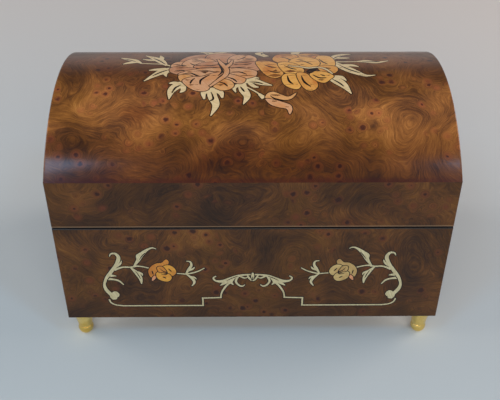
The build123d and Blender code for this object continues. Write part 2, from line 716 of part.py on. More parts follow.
def bearing(x0):
    """A pedestal bearing of the cylinder's arbor."""
    half = BEARING_WIDTH / 2
    x1 = x0 + BEARING_THICKNESS
    upright = block(x0, x1, axis_y - half, axis_y + half, bed_top, axis_z)
    head = rod_x(x0, x1, axis_y, axis_z, half - 0.5)
    flange = block(x0, x1, axis_y - half - 6, axis_y + half + 6, bed_top, foot_top)
    body = upright + head + flange
    body -= rod_x(x0 - 1, x1 + 1, axis_y, axis_z, CYLINDER_ARBOR_RADIUS + RUNNING)
    for x, y in bearing_screw_spots():
        body -= screw_hole(x, y, bed_top - 1, foot_top + 1)
    return body


# ---- spring barrel and winding ---------------------------------------------------------------------
def crown_tooth_outline():
    """A crown tooth's (y, z) section, from its root to its tip, with straight flanks."""
    half = (math.pi * MODULE / 2 - TOOTH_THINNING) / 2
    slope = math.tan(PRESSURE_ANGLE)
    pitch_z = barrel_top + DEDENDUM
    sink = 0.3
    low, high = barrel_top - sink, pitch_z + WHEEL_ADDENDUM
    wide, narrow = half + (pitch_z - low) * slope, half - WHEEL_ADDENDUM * slope
    return [(-wide, low), (wide, low), (narrow, high), (-narrow, high)]


def spring_barrel():
    """The drum that the mainspring turns, with a crown of teeth on its top edge."""
    drum = rod_z(0, 0, barrel_bottom, barrel_top, barrel_radius)
    drum -= rod_z(0, 0, barrel_bottom - 1, barrel_top - BARREL_TOP, barrel_radius - BARREL_WALL)
    drum -= rod_z(0, 0, barrel_bottom, barrel_top + 1, ARBOR_RADIUS + RUNNING)
    inner, outer = crown_radius - GEAR_WIDTH / 2, crown_radius + GEAR_WIDTH / 2
    tooth = slab_x(crown_tooth_outline(), inner, outer)
    # half a pitch from the mesh, where the pinion's lowest tooth stands
    teeth = [Rot(0, 0, 360 * (i + 0.5) / CROWN_TEETH) * tooth for i in range(CROWN_TEETH)]
    return Pos(barrel_x, axis_y, 0) * drum.fuse(*teeth)


def barrel_cap():
    radius = barrel_radius - BARREL_WALL - PRESS_CLEARANCE
    cap = rod_z(barrel_x, axis_y, barrel_bottom, barrel_bottom + BARREL_WALL, radius)
    return cap - rod_z(barrel_x, axis_y, barrel_bottom - 1, barrel_bottom + 3, ARBOR_RADIUS + RUNNING)


def mainspring():
    """A clock-type spring, part wound, between the arbor and the drum's wall."""
    first, last = ARBOR_RADIUS + 1.5, barrel_radius - BARREL_WALL - 0.6
    steps = SPRING_TURNS * 12

    def spiral(offset):
        radii = [first + (last - first) * i / steps + offset for i in range(steps + 1)]
        turns = [2 * math.pi * SPRING_TURNS * i / steps for i in range(steps + 1)]
        return [(r * math.cos(a), r * math.sin(a)) for r, a in zip(radii, turns)]

    inside, outside = Spline(*spiral(-SPRING_STRIP / 2)), Spline(*spiral(SPRING_STRIP / 2))
    strip = make_face([inside, Line(inside @ 1, outside @ 1), outside, Line(outside @ 0, inside @ 0)])
    low = barrel_bottom + BARREL_WALL + 0.6
    high = barrel_top - BARREL_TOP - 0.6
    return Pos(barrel_x, axis_y, low) * extrude(strip, amount=high - low)


def winding_arbor():
    """The spindle from the key's hub to the barrel bridge, thinner at its top journal."""
    shoulder = bridge_bottom - 0.6
    body = rod_z(barrel_x, axis_y, KEY_FLOOR_CLEARANCE + KEY_CAP, shoulder, ARBOR_RADIUS)
    return body + rod_z(barrel_x, axis_y, shoulder, bridge_top, JOURNAL_RADIUS)


def ratchet_outline():
    points = []
    for i in range(RATCHET_TEETH):
        a = 2 * math.pi * i / RATCHET_TEETH
        b = a + 2 * math.pi / RATCHET_TEETH * 0.98
        inner = RATCHET_RADIUS - RATCHET_DEPTH
        points.append((inner * math.cos(a), inner * math.sin(a)))
        points.append((RATCHET_RADIUS * math.cos(b), RATCHET_RADIUS * math.sin(b)))
    return points


def ratchet_wheel():
    low = ratchet_bottom
    wheel = slab_z(shifted(ratchet_outline(), barrel_x, axis_y), low, low + RATCHET_THICKNESS)
    return wheel - rod_z(barrel_x, axis_y, low - 1, low + 5, ARBOR_RADIUS + PRESS_CLEARANCE)


def click():
    """The pawl beside the ratchet. Its nose is drawn just clear of the teeth's circle."""
    low, high = ratchet_bottom, ratchet_bottom + RATCHET_THICKNESS
    nose_x, nose_y = barrel_x - RATCHET_RADIUS - 0.15, axis_y + 0.2
    outline = [
        (click_x - 1.6, click_y), (nose_x - 1.6, nose_y + 0.4), (nose_x, nose_y), (click_x + 1.6, click_y),
    ]
    body = slab_z(outline, low, high) + rod_z(click_x, click_y, low, high, CLICK_BOSS)
    return body - rod_z(click_x, click_y, low - 1, high + 1, CLICK_SCREW_RADIUS + RUNNING)


def click_screw():
    """The shouldered screw that the click turns on."""
    seat = ratchet_bottom - 0.2
    head = rod_z(click_x, click_y, seat - 0.9, seat, 1.9)
    return head + rod_z(click_x, click_y, seat, bed_top - SCREW_TIP_ROOM, CLICK_SCREW_RADIUS)


def click_spring():
    """A flat spring behind the click, fixed under the bedplate."""
    low, high = ratchet_bottom + 0.4, ratchet_bottom + 1.6
    right = click_x - CLICK_BOSS - 0.3
    leaf = block(right - 0.4, right, axis_y + 1, click_y + 5, low, high)
    return leaf + block(right - 2.4, right, click_y + 2, click_y + 5, low, bed_bottom)


def winding_key():
    """The wing key under the chest, short enough to clear the floor."""
    low, high = KEY_FLOOR_CLEARANCE, FOOT_HEIGHT - KEY_BOARD_CLEARANCE
    wing_height = (high - low) * 0.7
    half = KEY_WING_SPAN / 2
    wing = block(-half, half, -KEY_WING_THICKNESS / 2, KEY_WING_THICKNESS / 2, low, low + wing_height)
    wing = fillet(wing.edges().filter_by(Axis.Y), wing_height * 0.35)
    for side in (-1, 1):
        middle = side * (KEY_HUB_RADIUS + half) / 2
        wing -= rod_y(middle, -3, 3, low + wing_height / 2, wing_height * 0.24)
    key = rod_z(0, 0, low, high, KEY_HUB_RADIUS) + wing
    key -= rod_z(0, 0, low + KEY_CAP, high + 1, ARBOR_RADIUS + PRESS_CLEARANCE)
    return Pos(barrel_x, axis_y, 0) * key


# ---- cylinder --------------------------------------------------------------------------------------
def track_x(track):
    return comb_left + (track + 0.5) * COMB_PITCH


def music_cylinder():
    """The pinned tube. The tune is a fixed pattern of pins, the same number on each track."""
    tube = rod_x(cylinder_left, cylinder_right, axis_y, axis_z, CYLINDER_RADIUS)
    tube -= rod_x(cylinder_left - 1, cylinder_right + 1, axis_y, axis_z, CYLINDER_RADIUS - CYLINDER_WALL)
    golden_turn = 137.508
    pin = Pos(0, 0, CYLINDER_RADIUS + PIN_HEIGHT / 2 - 0.2) * Cylinder(PIN_RADIUS, PIN_HEIGHT + 0.4)
    pins = []
    for track in range(COMB_TEETH):
        for k in range(PINS_PER_TRACK):
            turn = (track * golden_turn + k * (360 / PINS_PER_TRACK) + 23 * math.sin(track * 2.4 + k)) % 360
            pins.append(Pos(track_x(track), axis_y, axis_z) * Rot(turn, 0, 0) * pin)
    return tube.fuse(*pins)


def cylinder_ends():
    """The two discs that carry the tube on its arbor."""
    radius = CYLINDER_RADIUS - CYLINDER_WALL - PRESS_CLEARANCE
    discs = []
    for x0 in (cylinder_left, cylinder_right - END_DISC_THICKNESS):
        disc = rod_x(x0, x0 + END_DISC_THICKNESS, axis_y, axis_z, radius)
        discs.append(disc - rod_x(x0 - 1, x0 + 3, axis_y, axis_z, CYLINDER_ARBOR_RADIUS + PRESS_CLEARANCE))
    return discs


def cylinder_arbor():
    right = right_bearing_x + BEARING_THICKNESS + 0.6
    return rod_x(pinion_x - 0.6, right, axis_y, axis_z, CYLINDER_ARBOR_RADIUS)


def cylinder_pinion():
    # a tooth points straight down into the crown's gap
    outline = shifted(gear_outline(PINION_TEETH, PINION_ADDENDUM, -math.pi / 2), axis_y, axis_z)
    gear = slab_x(outline, pinion_x, pinion_x + GEAR_WIDTH)
    return gear - rod_x(pinion_x - 1, pinion_x + 5, axis_y, axis_z, CYLINDER_ARBOR_RADIUS + PRESS_CLEARANCE)


def cylinder_wheel():
    # a tooth points at the governor's pinion
    outline = shifted(gear_outline(CYLINDER_WHEEL_TEETH, WHEEL_ADDENDUM, math.pi), axis_y, axis_z)
    gear = slab_x(outline, wheel_x, wheel_x + GEAR_WIDTH)
    windows, spoke_circle = 5, cylinder_wheel_radius * 0.58
    for i in range(windows):
        a = 2 * math.pi * i / windows
        y, z = axis_y + spoke_circle * math.cos(a), axis_z + spoke_circle * math.sin(a)
        gear -= rod_x(wheel_x - 1, wheel_x + 5, y, z, cylinder_wheel_radius * 0.2)
    return gear - rod_x(wheel_x - 1, wheel_x + 5, axis_y, axis_z, CYLINDER_ARBOR_RADIUS + PRESS_CLEARANCE)


# ---- comb ----------------------------------------------------------------------------------------
def comb_screw_spots():
    y = comb_front + COMB_HEEL / 2
    return [(comb_left + comb_length * (i + 0.5) / COMB_SCREWS, y) for i in range(COMB_SCREWS)]


def comb():
    """The steel comb: a heel and tuned teeth, long in the bass on the left and short in the treble."""
    right = comb_left + comb_length
    plate = block(comb_left, right, comb_front, tip_y, axis_z - COMB_TOOTH_THICKNESS, axis_z)
    heel = block(comb_left, right, comb_front, comb_front + COMB_HEEL, axis_z - COMB_THICKNESS, axis_z)
    slots = []
    for i in range(1, COMB_TEETH):
        share = i / COMB_TEETH
        length = BASS_TOOTH_LENGTH + (TREBLE_TOOTH_LENGTH - BASS_TOOTH_LENGTH) * share
        length = min(length, tip_y - comb_front - COMB_HEEL)
        x = comb_left + i * COMB_PITCH
        slots.append(
            block(x - COMB_SLOT / 2, x + COMB_SLOT / 2, tip_y - length, tip_y + 1, axis_z - 3, axis_z + 1)
        )
    body = (plate + heel).cut(*slots)
    for x, y in comb_screw_spots():
        body -= screw_hole(x, y, axis_z - 4, axis_z + 1)
    return body


def comb_base():
    """The brass block that carries the comb at the height of the cylinder's axis."""
    right = comb_left + comb_length
    top = axis_z - COMB_THICKNESS
    back = comb_front + COMB_HEEL
    upright = block(comb_left, right, comb_front, back - 1, bed_top, top)
    toe = block(comb_left, right, comb_front, back + 6, bed_top, foot_top)
    base = upright + toe
    for x, y in comb_screw_spots():
        base -= screw_hole(x, y, top - 7, top + 1)
    for x, y in comb_base_screw_spots():
        base -= screw_hole(x, y, bed_top - 1, foot_top + 1)
    return base


def comb_screws():
    return [cheese_screw(x, y, axis_z, COMB_THICKNESS + 6) for x, y in comb_screw_spots()]


# ---- governor ------------------------------------------------------------------------------------
def governor_frame():
    """One casting: a foot, two cheeks for the wheel's arbor and a post with an arm over the fly."""
    right = far_cheek_x + GOVERNOR_WALL + 4.5
    frame = block(cheek_x, right, frame_post_y, governor_y + 4.5, bed_top, foot_top)
    top = arm_bottom + FRAME_ARM
    half = CHEEK_RADIUS
    for x0 in (cheek_x, far_cheek_x):
        x1 = x0 + GOVERNOR_WALL
        frame += block(x0, x1, governor_y - half, governor_y + half, foot_top, axis_z)
        frame += rod_x(x0, x1, governor_y, axis_z, half)
    frame += block(worm_x - half, worm_x + half, frame_post_y, frame_post_y + FRAME_POST, foot_top, top)
    frame += block(worm_x - half, worm_x + half, frame_post_y, worm_y, arm_bottom, top)
    frame += rod_z(worm_x, worm_y, arm_bottom, top, half)
    reach = far_cheek_x - cheek_x + 9
    frame -= rod_x(cheek_x - 1, cheek_x + reach, governor_y, axis_z, GOVERNOR_ARBOR_RADIUS + RUNNING)
    frame -= rod_z(worm_x, worm_y, arm_bottom - 1, top + 1, WORM_SPINDLE_RADIUS + RUNNING)
    frame -= rod_z(worm_x, worm_y, bed_top + 0.8, foot_top + 1, WORM_SPINDLE_RADIUS + RUNNING)
    for x, y in governor_screw_spots():
        frame -= screw_hole(x, y, bed_top - 1, foot_top + 1)
    return frame


def governor_arbor():
    """The arbor with the pinion that the cylinder's wheel turns, cut from one bar."""
    bar = rod_x(wheel_x - 0.6, far_cheek_x + GOVERNOR_WALL + 0.5, governor_y, axis_z, GOVERNOR_ARBOR_RADIUS)
    # a gap faces the cylinder's wheel
    turn = math.pi / GOVERNOR_PINION_TEETH
    outline = shifted(gear_outline(GOVERNOR_PINION_TEETH, PINION_ADDENDUM, turn), governor_y, axis_z)
    return bar + slab_x(outline, wheel_x, wheel_x + GEAR_WIDTH)


def worm_wheel():
    x0 = worm_x - WORM_WHEEL_WIDTH / 2
    # a tooth points at the worm
    outline = shifted(gear_outline(WORM_WHEEL_TEETH, WORM_ADDENDUM, math.pi), governor_y, axis_z)
    wheel = slab_x(outline, x0, x0 + WORM_WHEEL_WIDTH)
    collet = rod_x(x0 - 1.5, x0 + WORM_WHEEL_WIDTH + 1.5, governor_y, axis_z, 2.4)
    return wheel + collet - rod_x(x0 - 3, x0 + 4, governor_y, axis_z, GOVERNOR_ARBOR_RADIUS + PRESS_CLEARANCE)


def governor_worm():
    """The endless screw on its spindle: a square thread, one start, right-handed."""
    lead = math.pi * MODULE
    outer, root = WORM_PITCH_RADIUS + WORM_ADDENDUM, WORM_PITCH_RADIUS - WORM_DEDENDUM
    half = math.pi * WORM_THREAD_SHARE
    low = axis_z - WORM_LENGTH / 2
    # the thread passes the wheel's side, +Y, half a lead from the mesh's height
    facing = math.pi / 2 + math.pi - 2 * math.pi * (axis_z - low) / lead
    ends = [(outer * math.cos(facing + s * half), outer * math.sin(facing + s * half)) for s in (-1, 1)]
    middle = (outer * math.cos(facing), outer * math.sin(facing))
    arc = ThreePointArc(ends[0], middle, ends[1])
    sector = make_face([Line((0, 0), ends[0]), arc, Line(ends[1], (0, 0))])
    section = (sector + Circle(root)).face()
    turns_deg = 360 * WORM_LENGTH / lead
    thread = Solid.extrude_linear_with_rotation(
        section.outer_wire(), (0, 0, 0), (0, 0, WORM_LENGTH), turns_deg
    )
    thread = Pos(worm_x, worm_y, low) * thread
    bottom, top = bed_top + 1.0, arm_bottom + FRAME_ARM - 0.3
    spindle = rod_z(worm_x, worm_y, bottom, low + 0.5, WORM_SPINDLE_RADIUS)
    return thread + spindle + rod_z(worm_x, worm_y, low + WORM_LENGTH - 0.5, top, WORM_SPINDLE_RADIUS)


def fly():
    """The two-bladed air brake on the worm's spindle."""
    half = FLY_THICKNESS / 2
    blades = block(-FLY_RADIUS, FLY_RADIUS, -half, half, fly_bottom, fly_top)
    blades = fillet(blades.edges().filter_by(Axis.Y), 1.2)
    hub = rod_z(0, 0, fly_bottom - 0.6, fly_top + 0.6, FLY_HUB_RADIUS)
    body = blades + hub - rod_z(0, 0, fly_bottom - 2, fly_top + 2, WORM_SPINDLE_RADIUS + PRESS_CLEARANCE)
    return Pos(worm_x, worm_y, 0) * body


# ---- stop work -----------------------------------------------------------------------------------
def stop_lever():
    """A rocking bar: the plunger presses its right end, and its left tip rises into the fly's circle."""
    y0, y1 = lever_y - LEVER_THICKNESS / 2, lever_y + LEVER_THICKNESS / 2
    half = LEVER_HEIGHT / 2
    tip_x = worm_x + FLY_RADIUS - 2.0
    tip_top = fly_bottom - LEVER_CLEARANCE
    low, high = lever_z - half, lever_z + half
    end = plunger_x + 2
    outline = [
        (tip_x, tip_top - 2.5), (tip_x, tip_top), (tip_x + 2.0, tip_top), (lever_pivot_x - 3, high),
        (end, high), (end, low + 1), (lever_pivot_x + 6, low), (lever_pivot_x - 4, low),
    ]
    bar = slab_y(outline, y0, y1)
    return bar - rod_y(lever_pivot_x, y0 - 1, y1 + 1, lever_z, LEVER_STUD_RADIUS + RUNNING)


def stop_lever_bracket():
    """The post beside the lever, with the stud that the lever rocks on."""
    y0 = lever_post_y
    left, right = lever_pivot_x - LEVER_POST_RADIUS, lever_pivot_x + LEVER_POST_RADIUS
    post = block(left, right, y0, y0 + 3, bed_top, lever_z)
    post += rod_y(lever_pivot_x, y0, y0 + 3, lever_z, LEVER_POST_RADIUS)
    toe = block(left, right, y0, y0 + 10, bed_top, foot_top)
    stud = rod_y(lever_pivot_x, lever_y - LEVER_THICKNESS / 2 - 0.5, y0 + 0.5, lever_z, LEVER_STUD_RADIUS)
    bracket = post + toe + stud
    for x, y in lever_bracket_screw_spots():
        bracket -= screw_hole(x, y, bed_top - 1, foot_top + 1)
    return bracket


def stop_plunger():
    """The rod that the lid presses down on the lever's end."""
    low, high = lever_z + LEVER_HEIGHT / 2 + PLUNGER_GAP, lid_bottom - PLUNGER_GAP
    rod = rod_z(plunger_x, lever_y, low, high, PLUNGER_RADIUS)
    return rod + rod_z(plunger_x, lever_y, high - 1.5, high, PLUNGER_RADIUS + PLUNGER_CAP_MARGIN)


def plunger_guide():
    """The eye on the end wall that keeps the plunger upright."""
    face, low, high = inner_x - GUIDE_PLATE, guide_bottom, guide_top
    half = GUIDE_EYE_HALF
    eye = block(plunger_x - half, face, lever_y - half, lever_y + half, high - 2, high)
    guide = eye + block(face, inner_x, lever_y - 5, lever_y + 5, low, high)
    guide -= rod_z(plunger_x, lever_y, low - 1, high + 1, PLUNGER_RADIUS + RUNNING)
    return guide - rod_x(face - 1, inner_x + 1, lever_y, guide_screw_z, SCREW_RADIUS + SCREW_CLEARANCE)


# ---- writing -------------------------------------------------------------------------------------
def nodes():
    """Every node's name and the function that makes its solid or solids."""
    left, right = hinge_middles()
    case_leaf, lid_leaf = rim - LEAF_THICKNESS, lid_bottom
    made = {
        "case_front_panel": case_front_panel(),
        "case_back_panel": case_back_panel(),
        "case_left_end": case_end(-1),
        "case_right_end": case_end(1),
        "case_bottom_board": case_bottom_board(),
        "compartment_divider": compartment_divider(),
        "cover_ledges": cover_ledges(),
        "glass_cover": glass_cover(),
        "well_floor_pad": well_floor_pad(),
        "well_wall_pads": well_wall_pads(),
        "lid_front_rail": lid_front_rail(),
        "lid_back_rail": lid_back_rail(),
        "lid_left_end": lid_end(-1),
        "lid_right_end": lid_end(1),
        "lid_vault": lid_vault(),
        "lid_striker": lid_striker(),
        "hinge_left_case_leaf": hinge_leaf(left, 0, case_leaf),
        "hinge_right_case_leaf": hinge_leaf(right, 0, case_leaf),
        "hinge_left_lid_leaf": hinge_leaf(left, 1, lid_leaf),
        "hinge_right_lid_leaf": hinge_leaf(right, 1, lid_leaf),
        "hinge_pins": hinge_pins(),
        "hinge_case_screws": hinge_screws(case_leaf),
        "hinge_lid_screws": hinge_screws(lid_leaf),
        "movement_bedplate": movement_bedplate(),
        "bedplate_spacers": bedplate_spacers(),
        "bedplate_screws": bedplate_screws(),
        "bracket_screws": bracket_screws(),
        "barrel_bridge": barrel_bridge(),
        "cylinder_bearing_left": bearing(left_bearing_x),
        "cylinder_bearing_right": bearing(right_bearing_x),
        "spring_barrel": spring_barrel(),
        "barrel_cap": barrel_cap(),
        "mainspring": mainspring(),
        "winding_arbor": winding_arbor(),
        "ratchet_wheel": ratchet_wheel(),
        "click": click(),
        "click_screw": click_screw(),
        "click_spring": click_spring(),
        "winding_key": winding_key(),
        "music_cylinder": music_cylinder(),
        "cylinder_ends": cylinder_ends(),
        "cylinder_arbor": cylinder_arbor(),
        "cylinder_pinion": cylinder_pinion(),
        "cylinder_wheel": cylinder_wheel(),
        "comb": comb(),
        "comb_base": comb_base(),
        "comb_screws": comb_screws(),
        "governor_frame": governor_frame(),
        "governor_arbor": governor_arbor(),
        "worm_wheel": worm_wheel(),
        "governor_worm": governor_worm(),
        "fly": fly(),
        "stop_lever": stop_lever(),
        "stop_lever_bracket": stop_lever_bracket(),
        "stop_plunger": stop_plunger(),
        "plunger_guide": plunger_guide(),
    }
    for corner, (x, y) in foot_spots().items():
        made["foot_" + corner] = foot(x, y)
    return made


def main():
    os.makedirs("parts", exist_ok=True)
    for name, shape in nodes().items():
        solids = shape if isinstance(shape, list) else [shape]
        solids = [s for piece in solids for s in piece.solids()]
        export_step(Compound(solids) if len(solids) > 1 else solids[0], f"parts/{name}.step")


main()
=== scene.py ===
"""The looks of a dome-lidded music box: burl veneer, marquetry, brass and a movement under glass."""

import json
import math

import bmesh
import bpy
from mathutils import Matrix, Vector, noise
from mathutils.geometry import delaunay_2d_cdt


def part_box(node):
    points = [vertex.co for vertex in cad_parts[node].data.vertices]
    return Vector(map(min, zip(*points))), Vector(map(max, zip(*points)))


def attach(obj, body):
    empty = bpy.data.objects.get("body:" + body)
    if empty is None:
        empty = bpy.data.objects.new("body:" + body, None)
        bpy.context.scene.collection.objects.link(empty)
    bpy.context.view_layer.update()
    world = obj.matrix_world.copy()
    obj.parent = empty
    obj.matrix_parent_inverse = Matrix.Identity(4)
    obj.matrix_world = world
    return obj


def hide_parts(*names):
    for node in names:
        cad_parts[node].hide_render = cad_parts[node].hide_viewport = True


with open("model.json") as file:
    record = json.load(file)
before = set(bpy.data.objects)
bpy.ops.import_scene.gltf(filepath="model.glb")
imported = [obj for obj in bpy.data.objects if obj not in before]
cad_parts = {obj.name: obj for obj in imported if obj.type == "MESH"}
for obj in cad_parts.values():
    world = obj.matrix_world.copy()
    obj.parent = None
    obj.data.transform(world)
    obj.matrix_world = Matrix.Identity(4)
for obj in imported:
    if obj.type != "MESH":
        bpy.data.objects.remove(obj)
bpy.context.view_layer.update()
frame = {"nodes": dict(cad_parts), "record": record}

MM = 0.001

# ---- places, worked out from the frame -----------------------------------------------------------
front_low, front_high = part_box("case_front_panel")
rail_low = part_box("lid_front_rail")[0]
vault_low, vault_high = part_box("lid_vault")

half_width = vault_high.x
half_depth = vault_high.y
kink = vault_low.z
crown = vault_high.z
seam = (front_high.z + rail_low.z) / 2
rise = crown - kink
vault_radius = (half_depth**2 + rise**2) / (2 * rise)
vault_centre = crown - vault_radius


# ---- shader nodes as nested calls -----------------------------------------------------------------
class Shader:
    """A material whose nodes are made by calls; a socket, a number or a tuple goes into any input."""

    def __init__(self, name):
        self.material = bpy.data.materials.new(name)
        self.material.use_nodes = True
        self.tree = self.material.node_tree
        self.tree.nodes.clear()
        self.place = self.node("ShaderNodeTexCoord").outputs["Object"]

    def node(self, kind, settings=None, **inputs):
        made = self.tree.nodes.new(kind)
        for name, value in (settings or {}).items():
            setattr(made, name, value)
        for name, value in inputs.items():
            self.put(made.inputs[name.replace("_", " ")], value)
        return made

    def put(self, socket, value):
        if isinstance(value, bpy.types.NodeSocket):
            self.tree.links.new(value, socket)
            return
        places = len(socket.default_value) if hasattr(socket.default_value, "__len__") else 1
        if places > 1 and not hasattr(value, "__len__"):
            socket.default_value = (value,) * places
        elif places == 4 and len(value) == 3:
            socket.default_value = (*value, 1)
        else:
            socket.default_value = value

    def math(self, operation, *values):
        made = self.node("ShaderNodeMath", {"operation": operation})
        for socket, value in zip(made.inputs, values):
            self.put(socket, value)
        return made.outputs[0]

    def add(self, a, b):
        return self.math("ADD", a, b)

    def times(self, a, b):
        return self.math("MULTIPLY", a, b)

    def vector(self, operation, *values):
        made = self.node("ShaderNodeVectorMath", {"operation": operation})
        for socket, value in zip(made.inputs, values):
            self.put(socket, value)
        return made.outputs[0]

    def scaled(self, vector, factor):
        made = self.node("ShaderNodeVectorMath", {"operation": "SCALE"})
        self.put(made.inputs[0], vector)
        self.put(made.inputs["Scale"], factor)
        return made.outputs[0]

    def parts(self, vector):
        return self.node("ShaderNodeSeparateXYZ", Vector=vector).outputs

    def joined(self, x, y, z):
        return self.node("ShaderNodeCombineXYZ", X=x, Y=y, Z=z).outputs[0]

    def noise(self, vector, size, detail=2.0, roughness=0.5, distortion=0.0):
        """Noise from 0 to 1, whose broadest lumps are about size across."""
        return self.node(
            "ShaderNodeTexNoise", Vector=vector, Scale=1 / size, Detail=detail, Roughness=roughness,
            Distortion=distortion,
        )

    def cells(self, vector, size):
        """Cells about size across: the distance to the nearest one's middle, and its own random colour."""
        return self.node("ShaderNodeTexVoronoi", Vector=vector, Scale=1 / size)

    def step(self, value, low, high, to_low=0.0, to_high=1.0):
        """A smooth step of value, from to_low at low to to_high at high."""
        made = self.node("ShaderNodeMapRange", {"interpolation_type": "SMOOTHSTEP"}, Value=value)
        names = ("From Min", "From Max", "To Min", "To Max")
        for name, number in zip(names, (low, high, to_low, to_high)):
            self.put(made.inputs[name], number)
        return made.outputs[0]

    def ramp(self, value, *stops):
        made = self.node("ShaderNodeValToRGB", Fac=value)
        points = made.color_ramp.elements
        while len(points) < len(stops):
            points.new(1.0)
        for point, (where, colour) in zip(points, stops):
            point.position = where
            point.color = (*colour, 1)
        return made.outputs["Color"]

    def blend(self, share, a, b, mode="MIX"):
        made = self.node("ShaderNodeMix", {"data_type": "RGBA", "blend_type": mode})
        self.put(made.inputs["Factor"], share)
        self.put(made.inputs[6], a)
        self.put(made.inputs[7], b)
        return made.outputs[2]

    def bump(self, height, distance, strength=1.0):
        return self.node("ShaderNodeBump", Height=height, Distance=distance, Strength=strength).outputs[0]

    def finish(self, **inputs):
        shader = self.node("ShaderNodeBsdfPrincipled", **inputs)
        self.node("ShaderNodeOutputMaterial", Surface=shader.outputs[0])
        return self.material


def srgb(red, green, blue):
    """A colour given as 0 to 255 display values, in the linear values that shaders use."""
    shares = (red / 255, green / 255, blue / 255)
    return tuple(c / 12.92 if c <= 0.04 else ((c + 0.055) / 1.055) ** 2.4 for c in shares)


# ---- veneer ----------------------------------------------------------------------------------------
# Lengths in this section are millimetres.
LACQUER = 0.45
LACQUER_ROUGHNESS = 0.15
LACQUER_BASE = 0.1  # of the wood's own gloss under the lacquer

DRIFT_SIZE = 52  # broad bends of the grain
DRIFT = 22.0
WOBBLE_SIZE = 9  # and small ones
WOBBLE = 2.6
FIELD_SIZE = 70  # of the smooth field that the grain goes round
FIELD_RISE = 0.075  # of that field at each eye
PATCH_SIZE = 36  # of paler and darker wood
HUE_SIZE = 60  # of olive and plum wood

EYE_SPACING = 7.5
EYE_SMALLEST = 0.75
EYE_SPREAD = 1.7  # how much bigger the biggest eye is
EYE_EDGE = 1.6  # raggedness of an eye's edge
EYE_CLUSTER = 34
HALO_RADIUS = 5.0

SEAM_SHADOW = 0.85  # of painted shadow on each side of the middle of the lid's seam
SEAM_SHADOW_DEPTH = 1.2  # that the painted seam shadow reaches in from the outside
SEAM_HIGHLIGHT = 0.5  # of painted highlight, a light line along the edge above the painted seam shadow
EDGE_STAIN = 3.0  # of red-stained edge at the foot of the vault
FOOT_DARKENING = 0.35  # share of darkening of the veneer towards the chest's lower edge
FOOT_DARKENING_TOP = 50.0  # above the floor


def sheet_place(s, plane, shift):
    """Where a point lies on its sheet of veneer, with a shift that picks the sheet."""
    x, y, z = s.parts(s.scaled(s.place, 1 / MM))
    if plane == "front":
        return s.joined(x, z, s.add(s.times(y, 0.25), shift))
    if plane == "end":
        return s.joined(y, z, s.add(s.times(x, 0.25), shift))
    above = s.add(z, -vault_centre / MM)
    round_vault = s.times(s.math("ARCTAN2", y, above), vault_radius / MM)
    return s.joined(x, round_vault, shift)


def bent_place(s, place):
    """The place with the bends of the grain added to it."""
    middle = (0.5, 0.5, 0.5)
    drift = s.vector("SUBTRACT", s.noise(place, DRIFT_SIZE).outputs["Color"], middle)
    bent = s.vector("ADD", place, s.scaled(drift, DRIFT))
    wobble = s.vector("SUBTRACT", s.noise(place, WOBBLE_SIZE).outputs["Color"], middle)
    return s.vector("ADD", bent, s.scaled(wobble, WOBBLE))


def burl_eyes(s, place):
    """Eyes in clusters, each with its own size: the eye, its halo, and how red the halo glows."""
    cells = s.cells(place, EYE_SPACING)
    away = s.times(cells.outputs["Distance"], EYE_SPACING)
    luck = s.parts(cells.outputs["Color"])
    cluster = s.noise(place, EYE_CLUSTER, 1.0).outputs["Fac"]
    chosen = s.step(s.add(s.times(luck[0], 0.60), s.times(cluster, 2.6)), 1.68, 1.80)
    size = s.add(s.times(luck[1], EYE_SPREAD), EYE_SMALLEST)
    notches = s.add(s.noise(place, EYE_EDGE).outputs["Fac"], -0.5)
    ragged = s.add(away, s.times(notches, EYE_EDGE))
    eye = s.times(s.step(s.math("DIVIDE", ragged, size), 1.25, 0.55), chosen)
    halo = s.times(s.step(away, HALO_RADIUS, 0.6), chosen)
    glow = s.times(s.math("POWER", halo, 1.3), s.step(luck[2], 0.2, 0.9, 0.30, 0.75))
    return eye, halo, glow


def burl_grain(s, place, bent, halo, shift):
    """Fibres along the level lines of a smooth field that rises to each eye, and the pores between them."""
    field = s.noise(bent, FIELD_SIZE, 1.3, 0.40).outputs["Fac"]
    field = s.add(field, s.times(halo, FIELD_RISE))
    u, v, _ = s.parts(s.scaled(place, 0.06))

    def fibres(density, stretch, detail, roughness):
        where = s.joined(s.times(field, density), s.times(u, stretch), s.times(v, stretch))
        return s.noise(where, 1.0, detail, roughness).outputs["Fac"]

    hair = fibres(120.0, 1.0, 3.0, 0.6)
    fine = fibres(420.0, 3.0, 2.0, 0.55)
    band = fibres(24.0, 0.5, 2.0, 0.5)
    figure = s.add(s.add(s.times(hair, 0.36), s.times(fine, 0.40)), s.times(band, 0.24))
    pores = s.noise(s.joined(s.times(u, 16.0), s.times(v, 16.0), shift), 1.0, 2.0, 0.7).outputs["Fac"]
    return figure, pores


def burl_colour(s, bent, figure, pores):
    patch = s.noise(bent, PATCH_SIZE, 3.0).outputs["Fac"]
    tone = s.add(s.times(s.add(figure, -0.5), 1.05), s.add(s.times(patch, 0.72), 0.13))
    tone = s.add(tone, s.times(s.add(pores, -0.5), 0.10))
    wood = s.ramp(
        tone,
        (0.18, srgb(36, 20, 11)),
        (0.36, srgb(66, 38, 18)),
        (0.50, srgb(94, 56, 24)),
        (0.64, srgb(120, 75, 33)),
        (0.84, srgb(152, 104, 54)),
    )
    hue = s.noise(bent, HUE_SIZE).outputs["Fac"]
    wood = s.blend(s.step(hue, 0.48, 0.62, 0.0, 0.60), wood, srgb(178, 176, 128), "MULTIPLY")
    return s.blend(s.step(hue, 0.46, 0.34, 0.0, 0.40), wood, srgb(186, 132, 128), "MULTIPLY")


